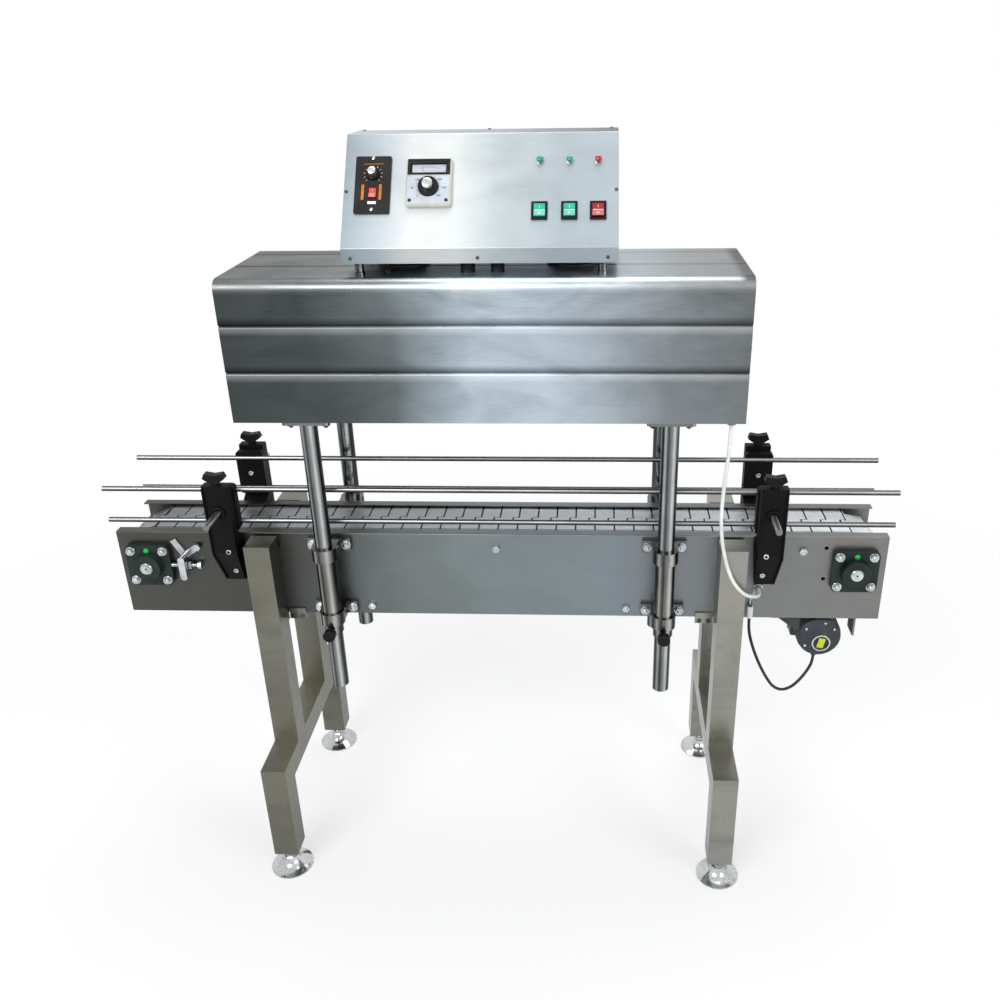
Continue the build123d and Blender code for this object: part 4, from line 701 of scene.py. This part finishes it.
# Rims of the cast brackets and the bosses round their rods
RIM_ASIDE, RIM_MIDDLE_Z = 23.2, 774
FOOT_RIM_ASIDE, FOOT_RIM_Y, FOOT_RIM_Z = 20.4, 100.4, 669.5
FOOT_RIM_LEAN = 4.4
rim = slab(3.4, 136.0, 4.0, 1.2)
foot_rim = slab(3.4, 76.0, 4.0, 1.2)
bpy.ops.mesh.primitive_torus_add(
    major_radius=10.8 * MM, minor_radius=3.6 * MM, major_segments=36, minor_segments=10, location=(0, 0, 0)
)
boss = bpy.context.object
take_faces(boss, lambda centre, normal: centre.z > 2 * MM)
bpy.ops.transform.translate(value=(0, 0, 1.8 * MM))
close_edit(boss)
rim_places = []
foot_rim_places = []
boss_places = []
for side in SIGNS:
    out = (0, side, 0)
    slope = Vector((0, side * 75, -33)).normalized()
    for x in (-BRACKET_X, BRACKET_X):
        boss_places.append(towards(x, side * BRACKET_FACE, ROD_Z, out))
        for edge in SIGNS:
            lean = Matrix.Rotation(math.radians(FOOT_RIM_LEAN * edge * side), 4, "Z")
            foot = towards(x + edge * FOOT_RIM_ASIDE, side * FOOT_RIM_Y, FOOT_RIM_Z, slope)
            rim_places.append(towards(x + edge * RIM_ASIDE, side * BRACKET_FACE, RIM_MIDDLE_Z, out))
            foot_rim_places.append(foot @ lean)
fit(rim, "bracket_rims", "frame", CASTING, rim_places)
fit(foot_rim, "bracket_foot_rims", "frame", CASTING, foot_rim_places)
fit(boss, "bracket_bosses", "frame", CASTING, boss_places)
discard(rim, foot_rim, boss)

# Tabs with two screws that hold the stands to the side plates
TAB_X, TAB_Z, TAB_SCREW_Z = 408, 549, 543
TAB_THICKNESS = 4
tab = slab(34.0, 24.0, TAB_THICKNESS, 1.0)
tab_screw = turned([(4.4, 0.0), (4.4, 1.8), (3.5, 2.8), (1.8, 3.2), (0.5, 3.3)], 16)
tab_places = [(x, side) for x in (-TAB_X, TAB_X) for side in SIGNS]
fit(tab, "stand_tabs", "frame", STAND,
    [towards(x, side * PLATE_FACE, TAB_Z, (0, side, 0)) for x, side in tab_places])
fit(tab_screw, "stand_tab_screws", "frame", SHADED_ZINC,
    [towards(x + step, side * (PLATE_FACE + TAB_THICKNESS), TAB_SCREW_Z, (0, side, 0))
     for x, side in tab_places for step in (-9, 9)])
discard(tab, tab_screw)

# Steel strips between the slats and the side plates
STRIP_Y, STRIP_Z = 57.3, 721.7
edge_strip = slab(1380.0, 30.6, 3.0, 0.4)
fit(edge_strip, "edge_strips", "frame", SLAT, [upright(0, side * STRIP_Y, STRIP_Z) for side in SIGNS])
discard(edge_strip)

# Screws of the control box, of the two controllers and of the hood's ends
pan = turned([(3.1, 0.0), (3.1, 0.6), (2.7, 1.3), (1.7, 1.7), (1.1, 1.7), (1.0, 0.9), (0.3, 0.8)], 18)
box_screws = [towards(x, -BOX_FACE, 1264, (0, -1, 0)) for x in (-221.6, -6.5, 210.8)]
box_screws += [on_panel(side * 228.4, 104.5) for side in SIGNS]
box_screws += [towards(x, 101, BOX_TOP, (0, 0, 1)) for x in (-225, 0, 217)]
box_screws += [towards(x, BOX_FACE, z, (0, 1, 0)) for x in (-221.6, BOX_MIDDLE, 213.6) for z in (1270, 1435)]
fit(pan, "box_screws", "hood", SHADED_ZINC, box_screws)
fit(pan, "speed_plate_screws", "hood", ZINC, [on_panel(-183.8, 164.1, 3), on_panel(-182.8, 69.3, 3)])
fit(pan, "controller_screws", "hood", PAINT_BLACK,
    [on_panel(HEAT_U + step, 82.5, 9.2) for step in (-31, 31)])
fit(pan, "hood_end_screws", "hood", ZINC,
    [towards(end * HOOD_END, depth, z, (end, 0, 0))
     for end in SIGNS for depth in (-132, 132) for z in (1010, 1116, 1196)])
discard(pan)

# Corrugated sleeves over the wire conduits, bushes on the spacers
CONDUITS = ((-164, 5), (-27, 12), (24, 11))
CONDUIT_Y = -80
SPACER_X, SPACER_Y = 206.5, 92
ABOVE_HOOD, BELOW_BOX = HOOD_TOP + 0.2, BOX_BOTTOM - 0.2
for number, (x, radius) in enumerate(CONDUITS, 1):
    hose = turned(ridged(radius + 1.1, 0.9, ABOVE_HOOD, BELOW_BOX, 2.8) + [(0.5, BELOW_BOX)], 28)
    fit(hose, f"conduit_sleeve_{number}", "hood", BLACK_CABLE, [upright(x, CONDUIT_Y)])
    discard(hose)
bush = turned([
    (8.6, ABOVE_HOOD), (8.6, 1239.0), (7.5, 1240.0), (7.5, 1251.0), (8.4, 1252.0), (8.4, BELOW_BOX),
    (1.0, BELOW_BOX),
], 24)
fit(bush, "spacer_bushes", "hood", TUBE,
    [upright(BOX_MIDDLE + end * SPACER_X, side * SPACER_Y) for end, side in CORNERS])
discard(bush)

# Speed controller: silver knob cap with its pointer, scale, orange bars and line, bare tag
PLATE_OUT = 2.95
speed_cap = turned([(7.35, 3.6), (7.35, 12.8), (6.6, 14.5), (5.6, 15.0), (0.6, 15.1)], 32)
fit(speed_cap, "speed_knob_cap", "speed_dial", SILVER_CAP, [on_panel(SPEED_U, SPEED_KNOB_V, 3.3)])
speed_tick = slab(0.7, 2.4, 0.25, 0.08)
fit(speed_tick, "speed_scale", "hood", PAINT_WHITE,
    [round_point(SPEED_U, SPEED_KNOB_V, PLATE_OUT, turn, 15.2) for turn in range(-135, 136, 27)])
bar = slab(4.6, 28.0, 0.5, 0.15)
fit(bar, "speed_bars", "hood", PAINT_ORANGE, [on_panel(u, 101.5, PLATE_OUT) for u in (-199.5, -169.5)])
tag = slab(14.5, 5.0, 0.5, 0.15)
fit(tag, "speed_tag", "hood", PAINT_WHITE, [on_panel(SPEED_U, 82, PLATE_OUT)])
line = slab(34.0, 0.9, 0.25, 0.05)
fit(line, "speed_line", "hood", PAINT_ORANGE, [on_panel(SPEED_U, 153.5, PLATE_OUT)])
speed_hand = slab(0.9, 4.6, 0.4, 0.1)
fit(speed_hand, "speed_pointer", "speed_dial", PAINT_WHITE,
    [round_point(SPEED_U, SPEED_KNOB_V, 6.4, 45, 8.2)])
discard(speed_cap, speed_tick, bar, tag, line, speed_hand)

# Temperature controller: scale window with its frame and pointer, pale face, dial with figures round it
HOUSING_OUT = 8.9
window = tray(61.4, 21.4, 2.6, 1.6, 1.9)
fit(window, "window_liner", "hood", DIAL_BLACK, [on_panel(HEAT_U, 143, 5.9)])
top_bar = slab(72.0, 8.6, 1.6, 0.5)
fit(top_bar, "window_frame_top", "hood", DIAL_BLACK, [on_panel(HEAT_U, 153.9, HOUSING_OUT)])
low_bar = slab(72.0, 3.4, 1.6, 0.5)
fit(low_bar, "window_frame_bottom", "hood", DIAL_BLACK, [on_panel(HEAT_U, 131.2, HOUSING_OUT)])
end_bar = slab(5.4, 18.0, 1.6, 0.5)
fit(end_bar, "window_frame_ends", "hood", DIAL_BLACK,
    [on_panel(HEAT_U + step, WINDOW_V, HOUSING_OUT) for step in (-33.3, 33.3)])
card = slab(57.6, 15.6, 0.3, 0.1)
fit(card, "window_card", "hood", FACE_PALE, [on_panel(HEAT_U, WINDOW_V, 6.75)])
face = slab(71.0, 52.6, 0.5, 0.2)
fit(face, "controller_face", "hood", FACE_PALE, [on_panel(HEAT_U, 102.6, HOUSING_OUT)])
window_tick = slab(0.45, 2.2, 0.2, 0.05)
fit(window_tick, "window_scale", "hood", PAINT_BLACK,
    [round_point(HEAT_U, 106.0, 7.0, step * 3.4, 38.8) for step in range(-7, 8)])
needle = slab(0.6, 10.0, 0.25, 0.08)
fit(needle, "window_pointer", "hood", PAINT_RED, [round_point(HEAT_U, 112.0, 7.2, 20, 30.2)])
mark = slab(0.7, 1.8, 0.25, 0.06)
fit(mark, "dial_scale", "hood", PAINT_BLACK,
    [round_point(HEAT_U, DIAL_V, 9.35, turn, 20.2) for turn in range(-135, 136, 15)])
# Turn of each figure round the dial; 150 has no room between the marks and the window's frame
for figure, turn in {"0": 135, "50": 90, "100": 45, "200": -45, "250": -90, "300": -135}.items():
    radius = 25.5 if abs(turn) == 135 else 27.0
    aside = radius * math.sin(math.radians(turn))
    above = 0.8 * radius * math.cos(math.radians(turn))
    lettering(figure, 5.2, f"dial_figure_{figure}", "hood", PAINT_BLACK,
              on_panel(HEAT_U - aside, 105 + above, 9.45))
dial_cap = turned([(9.35, 4.6), (9.35, 12.6), (8.6, 14.6), (7.4, 15.1), (0.6, 15.2)], 40)
fit(dial_cap, "dial_cap", "heat_dial", SILVER_CAP, [on_panel(HEAT_U, DIAL_V, 9.3)])
dial_hand = slab(1.0, 6.4, 0.4, 0.1)
fit(dial_hand, "dial_pointer", "heat_dial", PAINT_WHITE, [round_point(HEAT_U, DIAL_V, 14.2, 30, 13.2)])
discard(window, top_bar, low_bar, end_bar, card, face, window_tick, needle, mark, dial_cap, dial_hand)

# Lamp lenses
lens = turned([(5.75, 2.0), (5.75, 5.2), (5.2, 6.6), (4.0, 7.5), (2.2, 8.0), (0.5, 8.15)], 28)
green_places = [on_panel(SWITCHES[name], LAMP_V) for name in ("heat", "fan")]
fit(lens, "lamp_lenses_green", "hood", GREEN_LENS, green_places)
fit(lens, "lamp_lens_red", "hood", RED_LENS, [on_panel(SWITCHES["power"], LAMP_V)])
discard(lens)

# On and off marks, and a painted highlight as a white line across each rocker; the off half leans out of the
# panel
OFF_LEAN = -16
for name, u in SWITCHES.items():
    at_off = on_panel(u, 60.2, 4.15, 0, OFF_LEAN)
    lettering("I", 7.0, f"{name}_on_mark", f"{name}_rocker", PAINT_WHITE, on_panel(u, 73.0, 2.2))
    lettering("O", 6.2, f"{name}_off_mark", f"{name}_rocker", PAINT_WHITE, at_off)
# Painted highlight: a white line where each rocker's middle ridge catches the light
painted_ridge_highlight = slab(17.0, 1.1, 0.5, 0.2)
for name, u in SWITCHES.items():
    fit(painted_ridge_highlight, f"{name}_rocker_painted_highlight", f"{name}_rocker", PAINT_WHITE, [on_panel(u, 66.8, 1.95)])
discard(painted_ridge_highlight)
at_off = on_panel(SPEED_U, 96.2, 3.6, 0, OFF_LEAN)
lettering("I", 4.6, "speed_on_mark", "speed_rocker", PAINT_WHITE, on_panel(SPEED_U, 105.2, 2.2))
lettering("O", 4.0, "speed_off_mark", "speed_rocker", PAINT_WHITE, at_off)

# Motor: ring with a bare badge, cover screws and cooling ribs
SCREW_REACH = 34
FIRST_RIB, RIB_PITCH, RIB_COUNT = -48, 9, 6
at_badge = towards(BADGE_X, MOTOR_FACE, BADGE_Z, (0, -1, 0))
ring = turned([(18.6, 0.0), (18.6, 1.2), (17.6, 1.8), (15.9, 1.8), (15.6, 0.6), (0.5, 0.6)], 44)
fit(ring, "motor_ring", "frame", SILVER_CAP, [at_badge])
disc = turned([(15.4, 0.0), (15.4, 0.85), (15.0, 1.0), (0.5, 1.0)], 40)
fit(disc, "motor_disc", "frame", PAINT_BLACK, [at_badge])
badge = slab(13.5, 22.0, 1.3, 0.3)
fit(badge, "motor_badge", "frame", BADGE_YELLOW, [towards(BADGE_X, MOTOR_FACE, BADGE_Z, (0, -1, 0), -12)])
cover_screw = turned([(2.6, 0.0), (2.6, 1.2), (2.0, 1.7), (1.2, 1.7), (1.1, 0.9), (0.3, 0.9)], 14)
cover_screw_places = []
for turn in (35, 75, 145, 215):
    x = MOTOR_X + SCREW_REACH * math.cos(math.radians(turn))
    z = MOTOR_Z + SCREW_REACH * math.sin(math.radians(turn))
    cover_screw_places.append(towards(x, MOTOR_FACE, z, (0, -1, 0)))
fit(cover_screw, "motor_screws", "frame", ZINC, cover_screw_places)
cooling_rib = turned([(43.0, 0.0), (44.6, 0.6), (44.6, 2.0), (43.0, 2.6), (41.0, 2.6)], 56)
fit(cooling_rib, "motor_ribs", "frame", MOTOR,
    [towards(MOTOR_X, FIRST_RIB + RIB_PITCH * step, MOTOR_Z, (0, 1, 0)) for step in range(RIB_COUNT)])
discard(ring, disc, badge, cover_screw, cooling_rib)

# Hex nuts of the two cable glands
at_hood_gland = towards(431, -118, HOOD_BOTTOM, (0, 0, -1))
at_plate_gland = towards(510, -PLATE_FACE, 618, (0, -1, 0))
gland_nut = turned([(9.2, 0.0), (10.2, 0.7), (10.2, 3.6), (9.4, 4.3), (8.1, 4.3)], 6)
fit(gland_nut, "hood_gland_nut", "hood", WHITE_PLASTIC, [at_hood_gland])
fit(gland_nut, "plate_gland_nut", "frame", WHITE_PLASTIC, [at_plate_gland])
discard(gland_nut)


# Cables
def cable_line(name, route, radius):
    """Open spline through the route's points, with a round section."""
    curve = bpy.data.curves.new(name, "CURVE")
    curve.dimensions = "3D"
    spline = curve.splines.new("NURBS")
    spline.points.add(len(route) - 1)
    for point, place in zip(spline.points, route):
        point.co = (*place, 1.0)
    spline.order_u = 3
    spline.use_endpoint_u = True
    curve.resolution_u = 8
    curve.bevel_depth = radius
    curve.bevel_resolution = 4
    curve.use_fill_caps = True
    piece = bpy.data.objects.new(name, curve)
    bpy.context.collection.objects.link(piece)
    return piece


def as_mesh(piece):
    """A curve turned into a mesh."""
    hold(piece)
    bpy.ops.object.convert(target="MESH")
    return bpy.context.object


def centre_line(name, route):
    """Points along the middle of a cable, and its length."""
    thread = as_mesh(cable_line(name, route, 0.0))
    points = [tuple(vertex.co) for vertex in thread.data.vertices]
    discard(thread)
    return points, sum((Vector(b) - Vector(a)).length for a, b in zip(points, points[1:]))


# White cable from the hood's gland to the plate's gland
hood_cable_route = [
    (0.431, -0.118, 0.974), (0.431, -0.118, 0.930), (0.4275, -0.1205, 0.886), (0.4235, -0.126, 0.840),
    (0.422, -0.132, 0.793), (0.426, -0.1375, 0.748), (0.4355, -0.142, 0.706), (0.448, -0.145, 0.673),
    (0.4645, -0.1455, 0.650), (0.481, -0.141, 0.637), (0.4955, -0.129, 0.629), (0.5055, -0.1135, 0.6215),
    (0.510, -0.098, 0.618), (0.510, -0.083, 0.618),
]
hood_centre, hood_length = centre_line("hood_cable_centre", hood_cable_route)
white_cable = as_mesh(cable_line("hood_cable_white", hood_cable_route, 0.0035))
white_cable.data.materials.append(WHITE_CABLE)
hold(white_cable)
bpy.ops.object.shade_smooth()
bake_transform(white_cable)
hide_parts("hood_cable")

# Black lead from the plug to the motor
motor_cable_route = [
    (0.4975, -0.080, 0.553), (0.4975, -0.080, 0.531), (0.503, -0.0815, 0.503), (0.513, -0.083, 0.473),
    (0.526, -0.084, 0.442), (0.541, -0.0835, 0.413), (0.557, -0.081, 0.388), (0.578, -0.076, 0.3765),
    (0.599, -0.0695, 0.382), (0.617, -0.0615, 0.397), (0.631, -0.0535, 0.414), (0.639, -0.049, 0.430),
    (0.639, -0.049, 0.447),
]
black_cable = cable_line("motor_lead_black", motor_cable_route, 0.003)
black_cable.data.materials.append(BLACK_CABLE)
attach(black_cable, "frame")
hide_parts("motor_cable")

# Thin wire from the plate's gland down to the plug, with the plug's black bung and its catch
wire_route = [
    (0.5035, -0.0815, 0.6115), (0.500, -0.086, 0.607), (0.496, -0.087, 0.600), (0.4955, -0.084, 0.590),
    (0.4975, -0.080, 0.579),
]
wire_length = centre_line("plug_wire_centre", wire_route)[1]
wire = cable_line("plug_wire_white", wire_route, 0.0011)
wire.data.materials.append(WHITE_CABLE)
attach(wire, "frame")
bung = turned([(3.2, 0.0), (3.2, 4.2), (2.6, 5.0), (1.4, 5.4)], 16)
fit(bung, "plug_bung", "frame", BLACK_CABLE, [towards(PLUG_X, PLUG_Y, 578.6, (0, 0, 1))])
catch = slab(6.4, 1.2, 15.0, 0.3)
fit(catch, "plug_catch", "frame", WHITE_PLASTIC,
    [towards(PLUG_X, PLUG_Y - 5.2, 558, (0, 0, 1))])
discard(bung, catch)


# Floor, world, lamps and camera
def link_all(tree, pairs):
    """Joins each output to its input."""
    for output, socket in pairs:
        tree.links.new(output, socket)


def floor_finish():
    """Pale floor that shows shadows near the machine and glows white farther away."""
    made = bpy.data.materials.new("floor_pale")
    made.use_nodes = True
    tree = made.node_tree
    surface = tree.nodes["Principled BSDF"]
    surface.inputs["Base Color"].default_value = (0.9, 0.9, 0.9, 1)
    surface.inputs["Roughness"].default_value = 0.9
    surface.inputs["Specular IOR Level"].default_value = 0.1
    glow = tree.nodes.new("ShaderNodeEmission")
    glow.inputs["Strength"].default_value = 1.0
    place = tree.nodes.new("ShaderNodeTexCoord")
    distance = tree.nodes.new("ShaderNodeVectorMath")
    distance.operation = "LENGTH"
    fade = tree.nodes.new("ShaderNodeMapRange")
    for socket, amount in (("From Min", 0.5), ("From Max", 2.2), ("To Min", 0.55), ("To Max", 1.0)):
        fade.inputs[socket].default_value = amount
    path = tree.nodes.new("ShaderNodeLightPath")
    seen = tree.nodes.new("ShaderNodeMath")
    seen.operation = "MULTIPLY"
    share = tree.nodes.new("ShaderNodeMixShader")
    link_all(tree, (
        (place.outputs["Object"], distance.inputs[0]),
        (distance.outputs["Value"], fade.inputs["Value"]),
        (path.outputs["Is Camera Ray"], seen.inputs[0]),
        (fade.outputs[0], seen.inputs[1]),
        (seen.outputs[0], share.inputs[0]),
        (surface.outputs[0], share.inputs[1]),
        (glow.outputs[0], share.inputs[2]),
        (share.outputs[0], tree.nodes["Material Output"].inputs["Surface"]),
    ))
    return made


def studio_world():
    """World of soft cool light, plain white where it is seen directly, mirrored or looked through."""
    world = bpy.data.worlds.new("studio")
    world.use_nodes = True
    tree = world.node_tree
    light = tree.nodes["Background"]
    light.inputs["Color"].default_value = (0.93, 0.96, 1.0, 1)
    light.inputs["Strength"].default_value = 0.55
    white = tree.nodes.new("ShaderNodeBackground")
    white.inputs["Color"].default_value = (1, 1, 1, 1)
    path = tree.nodes.new("ShaderNodeLightPath")
    seen = tree.nodes.new("ShaderNodeMath")
    seen.operation = "MAXIMUM"
    either = tree.nodes.new("ShaderNodeMath")
    either.operation = "MAXIMUM"
    share = tree.nodes.new("ShaderNodeMixShader")
    link_all(tree, (
        (path.outputs["Is Camera Ray"], seen.inputs[0]),
        (path.outputs["Is Glossy Ray"], seen.inputs[1]),
        (seen.outputs[0], either.inputs[0]),
        (path.outputs["Is Transmission Ray"], either.inputs[1]),
        (either.outputs[0], share.inputs[0]),
        (light.outputs[0], share.inputs[1]),
        (white.outputs[0], share.inputs[2]),
        (share.outputs[0], tree.nodes["World Output"].inputs["Surface"]),
    ))
    return world


def soft_lamp(name, place, aim, size, power):
    """Rectangular lamp that shines from a place towards its aim."""
    bpy.ops.object.light_add(type="AREA", location=place)
    lamp = bpy.context.object
    lamp.name = name
    lamp.data.shape = "RECTANGLE"
    lamp.data.size, lamp.data.size_y = size
    lamp.data.energy = power
    lamp.rotation_euler = (Vector(place) - Vector(aim)).to_track_quat("Z", "Y").to_euler()


bpy.ops.mesh.primitive_plane_add(size=24, location=(0, 2, -0.0004))
floor = bpy.context.object
floor.name = "studio_floor"
bpy.ops.object.transform_apply(location=True)
floor.data.materials.append(floor_finish())
bpy.context.scene.world = studio_world()
soft_lamp("key_lamp", (-1.6, -3.0, 3.4), (0, 0, 0.8), (2.2, 1.6), 95)
soft_lamp("fill_lamp", (2.8, -2.2, 2.2), (0, 0, 0.8), (1.6, 1.6), 40)
soft_lamp("top_lamp", (0.3, 0.9, 4.0), (0, 0, 0.6), (2.4, 2.4), 60)

# The photograph's viewpoint; angles in degrees
PAN, DIP, ROLL = 3.0074, 24.9455, -0.9194
bpy.ops.object.camera_add(location=(0.19336, -1.73387, 1.57665))
camera = bpy.context.object
aim = Matrix.Rotation(math.radians(PAN), 3, "Z") @ Matrix.Rotation(math.radians(90 - DIP), 3, "X")
camera.rotation_euler = (aim @ Matrix.Rotation(math.radians(ROLL), 3, "Z")).to_euler()
camera.data.sensor_width = 36
camera.data.lens = 34.84
camera.data.shift_x = -0.0499
camera.data.clip_end = 60
bpy.context.scene.camera = camera
bpy.context.scene.view_settings.view_transform = "Standard"

bpy.context.view_layer.update()
